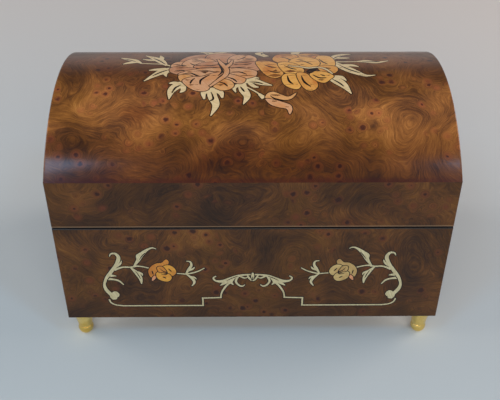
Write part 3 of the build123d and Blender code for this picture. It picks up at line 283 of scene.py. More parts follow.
def stains_and_painted_light(s, wood, plane, place):
    """Painted seam shadow and highlight, painted light on the vault, a red stain at its foot, darker chest
    foot.
    """
    x, y, height = s.parts(s.scaled(s.place, 1 / MM))
    # Painted shadow: near-black veneer on each side of the lid's seam, close to the outer faces.
    from_side = s.add(s.math("ABSOLUTE", x), SEAM_SHADOW_DEPTH - half_width / MM)
    from_front = s.add(s.math("ABSOLUTE", y), SEAM_SHADOW_DEPTH - half_depth / MM)
    outer = s.step(s.math("MAXIMUM", from_side, from_front), -0.2, 0.2)
    from_seam = s.math("ABSOLUTE", s.add(height, -seam / MM))
    seam_shadow = s.times(outer, s.step(from_seam, SEAM_SHADOW * 1.3, SEAM_SHADOW, 0.0, 0.95))
    wood = s.blend(seam_shadow, wood, srgb(14, 8, 7))
    # Painted highlight: a light line just above the painted seam shadow, along the lid's lower edge.
    from_highlight = s.math("ABSOLUTE", s.add(height, -seam / MM - SEAM_SHADOW * 1.6))
    wood = s.blend(s.step(from_highlight, SEAM_HIGHLIGHT, SEAM_HIGHLIGHT * 0.4, 0.0, 0.30), wood, srgb(170, 140, 108))
    if plane == "vault":
        round_vault = s.parts(place)[1]
        # Painted light: the vault's veneer is brighter in a band across its front shoulder, and darker
        # towards its foot and its crown.
        painted_light_band = s.times(s.step(round_vault, -82.0, -42.0), s.step(round_vault, 4.0, -30.0))
        wood = s.blend(1.0, wood, s.blend(painted_light_band, (0.68, 0.64, 0.45), (1.9, 2.3, 3.1)), "MULTIPLY")
        red = s.step(height, kink / MM + EDGE_STAIN, kink / MM + 0.5, 0.0, 0.55)
        wood = s.blend(red, wood, srgb(58, 14, 8))
    # The veneer is made darker towards the chest's lower edge.
    darker_below = s.step(height, FOOT_DARKENING_TOP, front_low.z / MM, 0.0, FOOT_DARKENING)
    return s.blend(darker_below, wood, srgb(20, 12, 10))


def burl(name, plane, shift, tint_and_painted_light=(1.0, 1.0, 1.0)):
    """Burl veneer under satin lacquer; plane is front, end or vault, and shift picks its part of the burl."""
    s = Shader(name)
    place = sheet_place(s, plane, shift)
    bent = bent_place(s, place)
    eye, halo, glow = burl_eyes(s, place)
    figure, pores = burl_grain(s, place, bent, halo, shift)
    wood = burl_colour(s, bent, figure, pores)
    wood = s.blend(glow, wood, srgb(116, 56, 32))
    wood = s.blend(s.times(eye, 0.85), wood, srgb(38, 16, 13))
    # The panel's colour is partly its own hue and partly painted light: the same burl is brighter on the
    # vault and darker on the front.
    wood = s.blend(1.0, wood, tint_and_painted_light, "MULTIPLY")
    return s.finish(
        Base_Color=stains_and_painted_light(s, wood, plane, place), Roughness=s.step(figure, 0.3, 0.7, 0.40, 0.30),
        Normal=s.bump(figure, 0.00002, 0.5), Specular_IOR_Level=LACQUER_BASE,
        Coat_Weight=LACQUER, Coat_Roughness=LACQUER_ROUGHNESS,
    )


def metal(name, dark, light, roughness, lines=(0.05, 0.05, 6.0), smudges=0.06):
    """A worked metal: fine tool lines that run across the given densities, and faint handling smudges."""
    s = Shader(name)
    x, y, z = s.parts(s.scaled(s.place, 1 / MM))
    across = s.joined(s.times(x, lines[0]), s.times(y, lines[1]), s.times(z, lines[2]))
    tool = s.noise(across, 1.0, 3.0, 0.6).outputs["Fac"]
    smudge = s.noise(s.place, 0.009, 3.0, 0.6).outputs["Fac"]
    tone = s.ramp(s.add(s.times(smudge, 0.75), s.times(tool, 0.25)), (0.34, dark), (0.64, light))
    worked = s.step(tool, 0.3, 0.7, roughness * 0.85, roughness * 1.2)
    rough = s.add(worked, s.step(smudge, 0.45, 0.7, 0.0, smudges))
    return s.finish(Base_Color=tone, Metallic=1.0, Roughness=rough, Normal=s.bump(tool, 0.000004, 0.5))


def plain_wood(name, dark, light, roughness, plies=0.0):
    """Straight-grained wood with open pores; plies is the thickness of plywood's layers in millimetres."""
    s = Shader(name)
    x, y, z = s.parts(s.scaled(s.place, 1 / MM))
    warp = s.times(s.noise(s.place, 0.05, 2.0).outputs["Fac"], 9.0)
    trunk = s.joined(s.times(x, 0.012), s.add(s.times(y, 0.32), warp), s.times(z, 0.32))
    rings = s.noise(trunk, 1.0, 3.0, 0.55)
    vessels = s.joined(s.times(x, 0.22), s.times(y, 3.2), s.times(z, 3.2))
    pores = s.noise(vessels, 1.0, 2.0, 0.7).outputs["Fac"]
    mixed = s.add(s.times(rings.outputs["Fac"], 0.8), s.times(pores, 0.2))
    tone = s.ramp(mixed, (0.34, dark), (0.66, light))
    if plies:
        layer = s.math("PINGPONG", z, plies)
        tone = s.blend(s.step(layer, plies * 0.45, plies * 0.55, 0.0, 0.35), tone, dark)
    tone = s.blend(s.step(pores, 0.36, 0.26, 0.0, 0.6), tone, dark)
    rough = s.step(pores, 0.3, 0.6, roughness + 0.12, roughness)
    return s.finish(Base_Color=tone, Roughness=rough, Normal=s.bump(pores, 0.00005, 0.5))


def velvet():
    """Short red pile: strokes lie in soft patches, and the tips catch the light."""
    s = Shader("pad_velvet")
    pile = s.noise(s.place, 0.0005, 3.0, 0.7).outputs["Fac"]
    brushed = s.noise(s.place, 0.022, 2.0, 0.5, 0.6).outputs["Fac"]
    mixed = s.add(s.times(pile, 0.45), s.times(brushed, 0.55))
    tone = s.ramp(mixed, (0.36, srgb(70, 8, 14)), (0.66, srgb(146, 24, 34)))
    return s.finish(
        Base_Color=tone, Roughness=s.step(brushed, 0.35, 0.65, 0.95, 0.8), Normal=s.bump(pile, 0.0003, 0.8),
        Sheen_Weight=0.8, Sheen_Roughness=0.35, Sheen_Tint=srgb(255, 150, 150), Specular_IOR_Level=0.2,
    )


def clear_glass():
    """A clean pane with a few specks of dust and the faint streaks of a cloth."""
    s = Shader("pane_glass")
    dust = s.noise(s.place, 0.0008, 4.0, 0.75).outputs["Fac"]
    wipe = s.noise(s.vector("MULTIPLY", s.place, (1.0, 4.0, 1.0)), 0.03, 3.0).outputs["Fac"]
    haze = s.times(s.step(dust, 0.62, 0.74), s.step(wipe, 0.45, 0.65, 0.01, 0.06))
    tone = s.ramp(wipe, (0.3, (0.96, 0.99, 0.98)), (0.7, (0.98, 1.0, 0.99)))
    return s.finish(
        Base_Color=tone, Roughness=haze, IOR=1.5, Transmission_Weight=0.97,
        Normal=s.bump(wipe, 0.000002, 0.3),
    )


FINISHES = {
    "walnut": plain_wood("plain_walnut", srgb(58, 34, 20), srgb(112, 72, 44), 0.42),
    "plywood": plain_wood("stained_plywood", srgb(120, 84, 50), srgb(176, 134, 88), 0.6, 1.6),
    "velvet": velvet(),
    "glass": clear_glass(),
    "foot_brass": metal("foot_brass", srgb(226, 186, 92), srgb(252, 222, 140), 0.17, (0.02, 0.02, 7.0), 0.05),
    "hinge_brass": metal("hinge_brass", srgb(196, 160, 88), srgb(228, 196, 124), 0.30, (0.2, 7.0, 7.0)),
    "movement_brass": metal("movement_brass", srgb(206, 170, 98), srgb(236, 206, 136), 0.26, (7.0, 0.1, 0.1)),
    "gilt_bed": metal("gilt_bed", srgb(196, 162, 92), srgb(228, 198, 128), 0.38, (3.5, 3.5, 3.5), 0.1),
    "steel": metal("ground_steel", srgb(150, 152, 156), srgb(200, 202, 206), 0.24, (0.2, 6.0, 0.2)),
    "blued_steel": metal("blued_steel", srgb(38, 46, 104), srgb(78, 84, 150), 0.22, (0.1, 0.1, 5.0)),
    "screw_steel": metal("screw_steel", srgb(182, 182, 184), srgb(222, 222, 224), 0.15, (5.0, 0.2, 5.0)),
    "nickel": metal("key_nickel", srgb(186, 182, 172), srgb(226, 223, 214), 0.13, (0.1, 0.1, 5.0)),
}


VENEERED = (
    # node, plane, shift and colour of its sheet of burl; the colour also paints light, brighter on the vault
    # and darker on the front and rail
    ("case_front_panel", "front", 40.0, (0.68, 0.69, 0.54)),
    ("lid_front_rail", "front", 175.0, (0.63, 0.62, 0.48)),
    ("lid_vault", "vault", 310.0, (1.22, 1.02, 0.88)),
    ("case_back_panel", "front", 455.0, (0.76, 0.75, 0.64)),
    ("lid_back_rail", "front", 590.0, (0.72, 0.71, 0.60)),
    ("case_left_end", "end", 1480.0, (0.76, 0.74, 0.62)),
    ("case_right_end", "end", 1540.0, (0.76, 0.74, 0.62)),
    ("lid_left_end", "end", 1620.0, (0.76, 0.74, 0.62)),
    ("lid_right_end", "end", 1680.0, (0.76, 0.74, 0.62)),
)


def dress(node, material):
    """Gives a CAD node its finished material."""
    for part in frame["nodes"][node].material_slots:
        part.material = material


def finish_frame():
    """Every CAD node takes its record slot's finish, and each veneered panel its own sheet of burl."""
    for row in frame["record"]["subparts"]:
        if row["material_slot"] in FINISHES:
            dress(row["node"], FINISHES[row["material_slot"]])
    for node, plane, shift, tint_and_painted_light in VENEERED:
        dress(node, burl("veneer_" + node, plane, shift, tint_and_painted_light))


# ---- marquetry -------------------------------------------------------------------------------------
# Lengths in this section are millimetres.
INLAY_STAND = 0.03  # of the inlays above the veneer's face
INLAY_DEPTH = 0.25
LINE_WIDTH = 0.58  # of the dark line that the shapes are let into
SLIT_WIDTH = 0.42  # half of a saw cut's width, on average
SLIT_TAPER = (0.5, 1.3, 1.5, 0.7)  # of a saw cut's width along its length
LID_GRID = 3.0  # between the points that let big shapes bend with the vault
GRID_OFFSET = Vector((0.37, 0.29))  # that keeps those points off the shapes' own
FRONT_SLIMNESS = 0.8  # of the front's scrolls against the widths written in them


def on_front(x, z, out):
    return Vector((x * MM, -half_depth - out * MM, z * MM))


def on_vault(x, back, out):
    """A point of the vault, at a distance measured round it from its crown towards the back."""
    turn = back * MM / vault_radius
    radius = vault_radius + out * MM
    return Vector((x * MM, math.sin(turn) * radius, vault_centre + math.cos(turn) * radius))


def spline(points, steps=7, closed=False):
    """A smooth line through the points, given as tuples of any length."""
    count = len(points)
    spans = count if closed else count - 1
    made = []
    for i in range(spans):
        near = [(i + k) % count if closed else min(max(i + k, 0), count - 1) for k in (-1, 0, 1, 2)]
        a, b, c, d = (points[k] for k in near)
        for j in range(steps):
            t = j / steps
            made.append(tuple(
                q + 0.5 * t * (r - p + t * (2 * p - 5 * q + 4 * r - e + t * (3 * q - p - 3 * r + e)))
                for p, q, r, e in zip(a, b, c, d)
            ))
    return made if closed else made + [points[-1]]


def ribbon(path, widths):
    """A shape along a path, with its half-width at evenly spaced places on it."""
    line = spline(path)
    sizes = spline([(w,) for w in widths])

    def outline(grow):
        cuts = []
        for i, (u, v) in enumerate(line):
            before, after = line[max(i - 1, 0)], line[min(i + 1, len(line) - 1)]
            run = Vector((after[0] - before[0], after[1] - before[1])).normalized()
            at = i / (len(line) - 1) * (len(sizes) - 1)
            low = min(int(at), len(sizes) - 2)
            half = max(sizes[low][0] + (sizes[low + 1][0] - sizes[low][0]) * (at - low), 0.05) + grow
            middle = Vector((u, v))
            if i == 0:
                middle -= run * grow
            if i == len(line) - 1:
                middle += run * grow
            side = Vector((-run.y, run.x)) * half
            cuts.append((middle + side, middle - side))
        faces = []
        for (a, b), (c, d) in zip(cuts, cuts[1:]):
            faces += [[a, b, d], [a, d, c]]
        return faces

    return outline


def slender(path, widths):
    """A ribbon of the front's finer scrolls."""
    return ribbon(path, [w * FRONT_SLIMNESS for w in widths])


def blob(*points):
    """A rounded shape whose edge passes through the points."""
    loop = [Vector(p) for p in spline(points, 6, True)]

    def outline(grow):
        turn = 1 if sum(a.cross(b) for a, b in zip(loop, loop[1:] + loop[:1])) > 0 else -1
        edge = []
        for i, here in enumerate(loop):
            run = (loop[(i + 1) % len(loop)] - loop[i - 1]).normalized()
            edge.append(here + Vector((run.y, -run.x)) * grow * turn)
        return [edge]

    return outline


def limits(points):
    across, along = [p.x for p in points], [p.y for p in points]
    return Vector((min(across), min(along))), Vector((max(across), max(along)))


def inside(shape, point):
    """Whether a point lies in a polygon."""
    odd = False
    for a, b in zip(shape, shape[1:] + shape[:1]):
        if (a.y > point.y) != (b.y > point.y):
            if point.x < a.x + (point.y - a.y) * (b.x - a.x) / (b.y - a.y):
                odd = not odd
    return odd


class Marquetry:
    """Flush inlays on one face: later shapes are let into earlier ones."""

    def __init__(self):
        self.layers = []

    def inlay(self, tone, *shapes, line=LINE_WIDTH):
        for shape in shapes if line else ():
            self.layers.append(("line", shape(line)))
        for shape in shapes:
            self.layers.append((tone, shape(0.0)))

    def slits(self, *paths, width=SLIT_WIDTH):
        """Dark saw cuts that draw the veins and folds."""
        for path in paths:
            self.layers.append(("line", ribbon(path, [width * share for share in SLIT_TAPER])(0.0)))

    def add_mirror_image(self):
        for tone, faces in list(self.layers):
            self.layers.append((tone, [[Vector((-p.x, p.y)) for p in face] for face in faces]))

    def lay(self, name, surface, body, grid):
        """Cuts the shapes against each other and makes one closed thin piece of each tone."""
        points, edges, shapes = [], [], []
        for tone, faces in self.layers:
            shapes.append((tone, *limits([point for face in faces for point in face]), faces))
            for face in faces:
                first = len(points)
                points += face
                edges += [(first + i, first + (i + 1) % len(face)) for i in range(len(face))]
        low, high = limits(points)
        u = low.x
        while grid and u < high.x:
            v = low.y
            while v < high.y:
                points.append(Vector((u, v)) + GRID_OFFSET)
                v += grid
            u += grid * 3
        flat, _, cut, _, _, _ = delaunay_2d_cdt(points, edges, [], 0, 1e-5, False)
        by_tone = {}
        for face in cut:
            middle = (flat[face[0]] + flat[face[1]] + flat[face[2]]) / 3
            for tone, low, high, faces in reversed(shapes):
                near = low.x < middle.x < high.x and low.y < middle.y < high.y
                if near and any(inside(shape, middle) for shape in faces):
                    by_tone.setdefault(tone, []).append(list(face))
                    break
        for tone, tops in sorted(by_tone.items()):
            mesh_slab(f"{name}_{tone}", flat, tops, surface, VENEERS[tone], body)


def mesh_slab(name, flat, tops, surface, material, body):
    used = sorted({i for face in tops for i in face})
    number = {old: new for new, old in enumerate(used)}
    count = len(used)
    verts = [surface(flat[i].x, flat[i].y, INLAY_STAND) for i in used]
    verts += [surface(flat[i].x, flat[i].y, -INLAY_DEPTH) for i in used]
    tops = [[number[i] for i in face] for face in tops]
    edges = {(a, b) for face in tops for a, b in zip(face, face[1:] + face[:1])}
    sides = [[b, a, a + count, b + count] for a, b in edges if (b, a) not in edges]
    under = [[i + count for i in reversed(face)] for face in tops]
    mesh = bpy.data.meshes.new(name)
    mesh.from_pydata(verts, [], tops + under + sides)
    mesh.update()
    piece = bpy.data.objects.new(name, mesh)
    bpy.context.scene.collection.objects.link(piece)
    mesh.materials.append(material)
    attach(piece, body)


def inlay_veneer(name, dark, light, grain_turn, warm=None):
    """A plain straight-grained veneer under the same lacquer, with a warmer scorched part."""
    s = Shader("inlay_" + name)
    x, y, z = s.parts(s.scaled(s.place, 1 / MM))
    c, n = math.cos(grain_turn), math.sin(grain_turn)
    height = s.add(z, s.times(y, 0.8))
    across = s.add(s.times(x, n), s.times(height, c))
    along = s.add(s.times(x, c), s.times(height, -n))
    straight = s.joined(s.times(along, 0.12), s.times(across, 1.3), 0.0)
    grain = s.noise(straight, 1.0, 4.0, 0.6, 0.3).outputs["Fac"]
    tone = s.ramp(grain, (0.32, dark), (0.66, light))
    if warm:
        burnt = s.noise(s.joined(x, height, 7.0), 9.0, 2.0).outputs["Fac"]
        tone = s.blend(s.step(burnt, 0.46, 0.66, 0.0, 0.75), tone, warm)
    return s.finish(
        Base_Color=tone, Roughness=s.step(grain, 0.3, 0.7, 0.42, 0.34), Normal=s.bump(grain, 0.00001, 0.4),
        Specular_IOR_Level=LACQUER_BASE, Coat_Weight=LACQUER, Coat_Roughness=LACQUER_ROUGHNESS,
    )


VENEERS = {
    "line": inlay_veneer("line", srgb(16, 7, 5), srgb(28, 13, 8), 0.4),
    "cream": inlay_veneer("cream", srgb(196, 164, 116), srgb(222, 194, 148), 0.3),
    "maple": inlay_veneer("maple", srgb(156, 144, 108), srgb(186, 176, 140), 1.2),
    "pink": inlay_veneer("pink", srgb(190, 134, 94), srgb(212, 158, 116), 0.9, srgb(200, 134, 82)),
    "rose": inlay_veneer("rose", srgb(172, 114, 80), srgb(198, 142, 104), -0.5, srgb(176, 108, 64)),
    "tan": inlay_veneer("tan", srgb(196, 132, 76), srgb(216, 160, 104), 0.6, srgb(186, 112, 52)),
    "orange": inlay_veneer("orange", srgb(196, 128, 58), srgb(218, 154, 80), 1.1, srgb(184, 104, 44)),
    "amber": inlay_veneer("amber", srgb(208, 142, 64), srgb(226, 166, 88), -0.3),
    "copper": inlay_veneer("copper", srgb(162, 102, 38), srgb(188, 124, 52), 1.1, srgb(150, 86, 34)),
    "honey": inlay_veneer("honey", srgb(176, 122, 44), srgb(204, 148, 60), -0.3, srgb(162, 100, 38)),
    "straw": inlay_veneer("straw", srgb(148, 120, 72), srgb(174, 146, 94), 1.1, srgb(138, 98, 54)),
    "oat": inlay_veneer("oat", srgb(156, 132, 82), srgb(184, 160, 106), -0.3, srgb(150, 112, 62)),
}


def lay_front_marquetry():
    m = Marquetry()
    # string line, with a step towards the middle
    string = [
        ribbon([(-95.5, 37.5), (-94.5, 34.5), (-91.5, 32.4), (-87, 31.6)], (0.5, 0.52, 0.52, 0.52)),
        ribbon([(-87.3, 31.5), (-60, 31.5), (-32.6, 31.5)], (0.52, 0.52)),
        ribbon([(-33.2, 31.0), (-33.2, 34.8), (-33.2, 38.9)], (0.52, 0.52)),
        ribbon([(-33.8, 38.3), (-27, 38.5), (-20.6, 38.8)], (0.52, 0.52)),
        ribbon([(-21.2, 38.5), (-20.4, 43.5), (-17.6, 49), (-14.2, 53)], (0.52, 0.55, 0.7, 0.8)),
    ]
    corner = [
        slender(
            [(-93, 41), (-96.4, 46), (-97.2, 51), (-95.4, 56), (-91.6, 62.2), (-87.6, 68.6), (-85.8, 74),
             (-87.5, 77.4), (-90.3, 77.3), (-91.4, 75.2)],
            (1.7, 1.5, 1.0, 1.6, 1.4, 1.6, 1.2, 0.7, 0.35),
        ),
        slender([(-93.4, 42.6), (-92.2, 39.8), (-91.8, 37.4)], (2.0, 3.0, 1.6)),
        slender([(-93.2, 41.4), (-91, 43.4), (-89.6, 41.8), (-90.2, 39.8)], (1.6, 1.7, 1.7, 1.1)),
        slender([(-95.4, 56), (-90.8, 55.4), (-87.2, 54), (-84.6, 50.6)], (1.5, 0.9, 0.8, 0.45)),
        slender([(-93.4, 58.6), (-90.8, 58.7), (-88.7, 58.3)], (1.6, 1.0, 0.3)),
        slender([(-88.6, 66.5), (-85.3, 68.8), (-84.0, 71.6)], (1.4, 0.9, 0.3)),
        slender([(-89.6, 63.6), (-84, 66), (-78.8, 66), (-74.5, 67)], (1.1, 0.75, 0.75, 0.7)),
        slender([(-75.6, 67), (-71.5, 66.5), (-65.9, 64.8)], (0.7, 0.6, 0.55)),
        slender(
            [(-76.8, 66.4), (-73.6, 71.6), (-70.9, 76.8), (-66.8, 80.8), (-63.6, 82.2), (-61.2, 81.2)],
            (0.5, 1.5, 1.9, 1.0, 0.6, 0.3),
        ),
        slender([(-73.6, 72), (-73.8, 75.6), (-71.6, 78.2)], (0.8, 0.9, 0.3)),
        slender([(-79.2, 66), (-75.6, 61.6), (-73.2, 56.4), (-72.8, 51.4)], (0.4, 1.7, 1.6, 0.4)),
        slender([(-75.6, 62.2), (-72.2, 60.4), (-71.6, 58.6)], (1.0, 0.9, 0.3)),
    ]
    twig = [
        slender(
            [(-50.5, 60.6), (-46.5, 60.2), (-42.5, 60), (-36, 62), (-31.2, 65)],
            (0.45, 0.5, 0.65, 0.6, 0.4),
        ),
        slender(
            [(-43.4, 60), (-41.4, 63.8), (-39.6, 67.4), (-40.2, 70.4), (-42.8, 71)],
            (0.6, 1.2, 1.0, 0.7, 0.35),
        ),
        slender([(-41.2, 63), (-38.6, 64.4), (-37.6, 66)], (0.8, 0.8, 0.25)),
        slender([(-43, 59.6), (-39.6, 56.2), (-38.2, 52.6), (-40, 49.2)], (0.5, 1.2, 1.0, 0.35)),
        slender([(-40.6, 57.6), (-38, 56.8), (-36.6, 55.2)], (0.8, 0.8, 0.25)),
    ]
    acanthus = [
        slender(
            [(-23.8, 58), (-25.7, 56.2), (-24, 53.8), (-19.6, 53.4), (-14.8, 55.4), (-10, 58), (-5, 59),
             (0.1, 59.2)],
            (0.5, 0.7, 0.9, 1.5, 1.7, 1.1, 0.8, 0.7),
        ),
        slender([(-14.5, 55.2), (-18, 52.2), (-21.4, 49.6)], (1.6, 1.5, 0.3)),
        slender([(-12.4, 56.6), (-14.2, 52.8), (-12.6, 50.2)], (1.4, 1.3, 0.4)),
        slender(
            [(-9.6, 57.8), (-11, 53.4), (-9.2, 50), (-6.8, 49), (-5, 50.4)], (1.0, 0.9, 0.8, 0.7, 0.35),
        ),
        slender([(-8.6, 58), (-5.4, 56.2), (-3.4, 56.8)], (0.8, 0.7, 0.3)),
        slender([(-3.6, 59), (-2.6, 56.6), (-1.2, 54.6), (0.1, 54)], (0.6, 0.8, 0.8, 0.7)),
    ]
    m.inlay("maple", *string, *corner, *twig, *acanthus)
    m.slits(
        [(-96.3, 50), (-94.8, 54.8), (-92.6, 58.4)], [(-72.6, 72.2), (-70.6, 75.6), (-68.4, 78.2)],
        width=0.22,
    )
    m.slits(
        [(-76, 62.6), (-74.3, 59.2), (-73.2, 55.8)], [(-17, 53.8), (-13.6, 56), (-9.6, 57.9)], width=0.22,
    )
    m.add_mirror_image()
    front_flower(m, 1, "copper", "honey")
    front_flower(m, -1, "straw", "oat")
    m.inlay("maple", ribbon([(0, 60.8), (0, 58.2), (0, 55.4)], (0.5, 1.0, 0.6)))
    m.slits([(0, 57.4), (0, 56), (0, 54.4)], width=0.2)
    m.lay("front_inlay", on_front, "case", 0)


def front_flower(m, side, back, face):
    """The flower left of the middle, or with side -1 its mirror image."""
    def turned(*points):
        return [(side * x, z) for x, z in points]

    m.inlay(back, blob(*turned(
        (-66.6, 57.6), (-67.6, 62.4), (-65.4, 66.8), (-61.8, 69.2), (-58.6, 69.6), (-55.8, 72.4),
        (-54, 70.6), (-55.2, 67), (-58.6, 64.4), (-61.8, 60.2), (-64, 57.2),
    )))
    m.inlay("rose", blob(*turned((-65.8, 54.2), (-65.4, 57), (-63.6, 58.8), (-62.8, 57.6), (-64, 55.2))))
    m.inlay(face, blob(*turned(
        (-57.8, 66.4), (-54.2, 67.6), (-50.8, 65.2), (-49.6, 61.4), (-52, 58.4), (-55.4, 60), (-58.6, 62),
    )))
    m.inlay(face, blob(*turned(
        (-62.6, 60.6), (-62.2, 56.6), (-59, 54), (-55, 53.6), (-52.8, 56.6), (-54.4, 60), (-57.6, 60.4),
        (-60, 62.2),
    )))
    m.inlay(
        back,
        blob(*turned((-61.6, 65.8), (-58.6, 66.4), (-56.4, 63.4), (-55.8, 61), (-58.2, 61.4), (-61, 62))),
    )
    m.slits(
        turned((-60.2, 65), (-58, 62.4), (-55.6, 61.2), (-56.4, 59.6), (-59.6, 60)),
        turned((-64.6, 59.4), (-65.2, 63)), turned((-58.6, 57.6), (-56.4, 56.2)),
        turned((-54.6, 64.6), (-52.6, 62)),
        width=0.3,
    )


def lay_lid_marquetry():
    m = Marquetry()
    # sprays behind the flowers
    left_spray = [
        ribbon([(-50, 3), (-58, 8), (-66, 9), (-74, 10)], (0.8, 0.6, 0.5, 0.5)),
        ribbon([(-73, 10), (-78, 15), (-83, 18), (-88, 21)], (0.6, 2.4, 1.8, 0.3)),
        ribbon([(-76, 12.5), (-81, 11), (-85, 8.5)], (1.4, 1.6, 0.3)),
        ribbon([(-56, 6), (-60, 13), (-65, 20), (-72, 27)], (0.8, 2.8, 2.6, 0.3)),
        ribbon([(-61, 15), (-60.5, 21), (-62, 27)], (1.8, 1.6, 0.3)),
        ribbon([(-62, 16), (-68, 16), (-73, 18)], (1.4, 1.4, 0.3)),
        ribbon([(-51, 1), (-57, -2), (-62, -6.5), (-69, -14)], (2.4, 3.4, 2.2, 0.3)),
        ribbon([(-54, 0), (-56, -5), (-55, -9)], (1.8, 1.5, 0.3)),
        ribbon([(-56, 1), (-63, 0), (-67, -1)], (1.6, 1.4, 0.3)),
    ]
    right_spray = [
        ribbon([(53, 12), (62, 12), (71, 12.5)], (0.8, 0.6, 0.5)),
        ribbon([(70, 12.5), (76, 13), (83, 11), (91, 14)], (0.6, 2.2, 1.5, 0.3)),
        ribbon([(52, 13), (60, 3), (66, -3), (73, -8), (79.5, -7.5)], (1.6, 3.2, 2.8, 1.2, 0.3)),
        ribbon([(60, 6), (66, 6), (70, 3.5)], (1.8, 1.6, 0.3)),
        ribbon([(52, 14), (57, 24), (63, 30), (68, 30)], (1.6, 2.8, 2.0, 0.3)),
        ribbon([(55, 20), (62, 20), (66, 20)], (1.4, 1.4, 0.3)),
    ]
    m.inlay("cream", *left_spray)
    m.inlay("cream", *right_spray)
    m.slits(
        [(-54, 0), (-59, -3.5), (-64, -8)], [(-57, 8), (-61, 14), (-66, 20)],
        [(57, 7), (63, 0), (70, -5)],
    )
    m.slits(
        [(-77, 13), (-81, 16), (-85, 18.5)], [(73, 12.6), (79, 12), (85, 12)],
        [(54, 17), (58, 23), (63, 27)],
    )
    # leaves below and behind the flowers
    m.inlay(
        "cream",
        ribbon([(-43, -15), (-47.5, -19), (-51, -24), (-52, -31.5)], (1.6, 3.0, 2.4, 0.3)),
        ribbon([(-46, -17), (-50, -16), (-53, -16.5)], (1.4, 1.4, 0.3)),
        ribbon([(-44, -18), (-43.5, -23), (-45.5, -25.5)], (2.0, 1.6, 0.4)),
        ribbon([(-26, -21), (-25, -29), (-22.8, -36.5), (-25.8, -45)], (2.6, 3.0, 2.2, 0.3)),
        ribbon([(-26, -24), (-30.5, -25.5), (-30, -31.5)], (2.0, 1.9, 0.6)),
        ribbon([(-24, -23), (-20, -25.5), (-18.8, -30.5)], (2.0, 1.9, 0.6)),
        ribbon([(-6, -14), (-6, -22), (-3.4, -29), (-5.8, -36)], (1.8, 2.8, 2.2, 0.3)),
        ribbon([(-8, -18), (-11.4, -21), (-10.4, -25.5)], (1.5, 1.4, 0.4)),
        ribbon([(-6, -15), (1, -14), (6, -16.5), (12.6, -18.8)], (1.6, 2.4, 1.9, 0.3)),
        ribbon([(-3, -13), (1, -10.5), (4.5, -11)], (1.4, 1.3, 0.3)),
        ribbon([(-2, -16), (1, -19.6), (4, -20.6)], (1.4, 1.3, 0.3)),
        ribbon([(-4, -20), (1, -24), (5.4, -28)], (0.5, 0.5, 0.6)),
        ribbon([(4, -27), (7.2, -30.6)], (0.9, 1.8)),
        ribbon([(49, -9), (54, -14), (58, -19), (62, -27)], (2.2, 3.4, 2.6, 0.3)),
        ribbon([(52, -10), (57, -10), (60, -14)], (1.8, 1.6, 0.4)),
        ribbon([(-28, 30), (-30, 38), (-37, 44)], (2.4, 3.2, 0.4)),
        ribbon([(-24, 31), (-22, 39), (-14, 46)], (2.2, 3.0, 0.4)),
        ribbon([(30, 31), (31, 40), (38, 46)], (2.4, 3.2, 0.4)),
        ribbon([(10, 24), (5, 34), (8, 43)], (2.0, 2.8, 0.4)),
    )
    m.slits(
        [(-45, -18), (-48.5, -21), (-50.5, -26)], [(-26, -25), (-24.4, -31), (-26.6, -33)],
        [(-7.6, -20), (-5, -25)],
    )
    m.slits(
        [(51, -12), (55, -16), (58, -20)], [(-2, -15), (3, -15.6), (7, -17.4)], [(-29, 33), (-32, 39)],
        [(7, 30), (7, 37)],
    )
    # bud
    m.inlay(
        "tan",
        blob(
            (8.2, -31), (9, -27), (13, -25), (18, -27.6), (22.6, -29.4), (27.6, -25.8), (25, -30.6),
            (20, -32.6), (13, -31.6),
        ),
    )
    m.inlay("pink", blob(
        (8, -31.4), (13, -32), (18.4, -34), (23.4, -36.6), (24.4, -40.4), (22.6, -44), (21, -39.8),
        (16, -38.4), (11, -36),
    ))
    m.slits([(11, -28.6), (13.6, -31), (18, -32.6), (21.6, -33)])
    pink_rose(m)
    orange_rose(m)
    m.lay("lid_inlay", on_vault, "lid", LID_GRID)


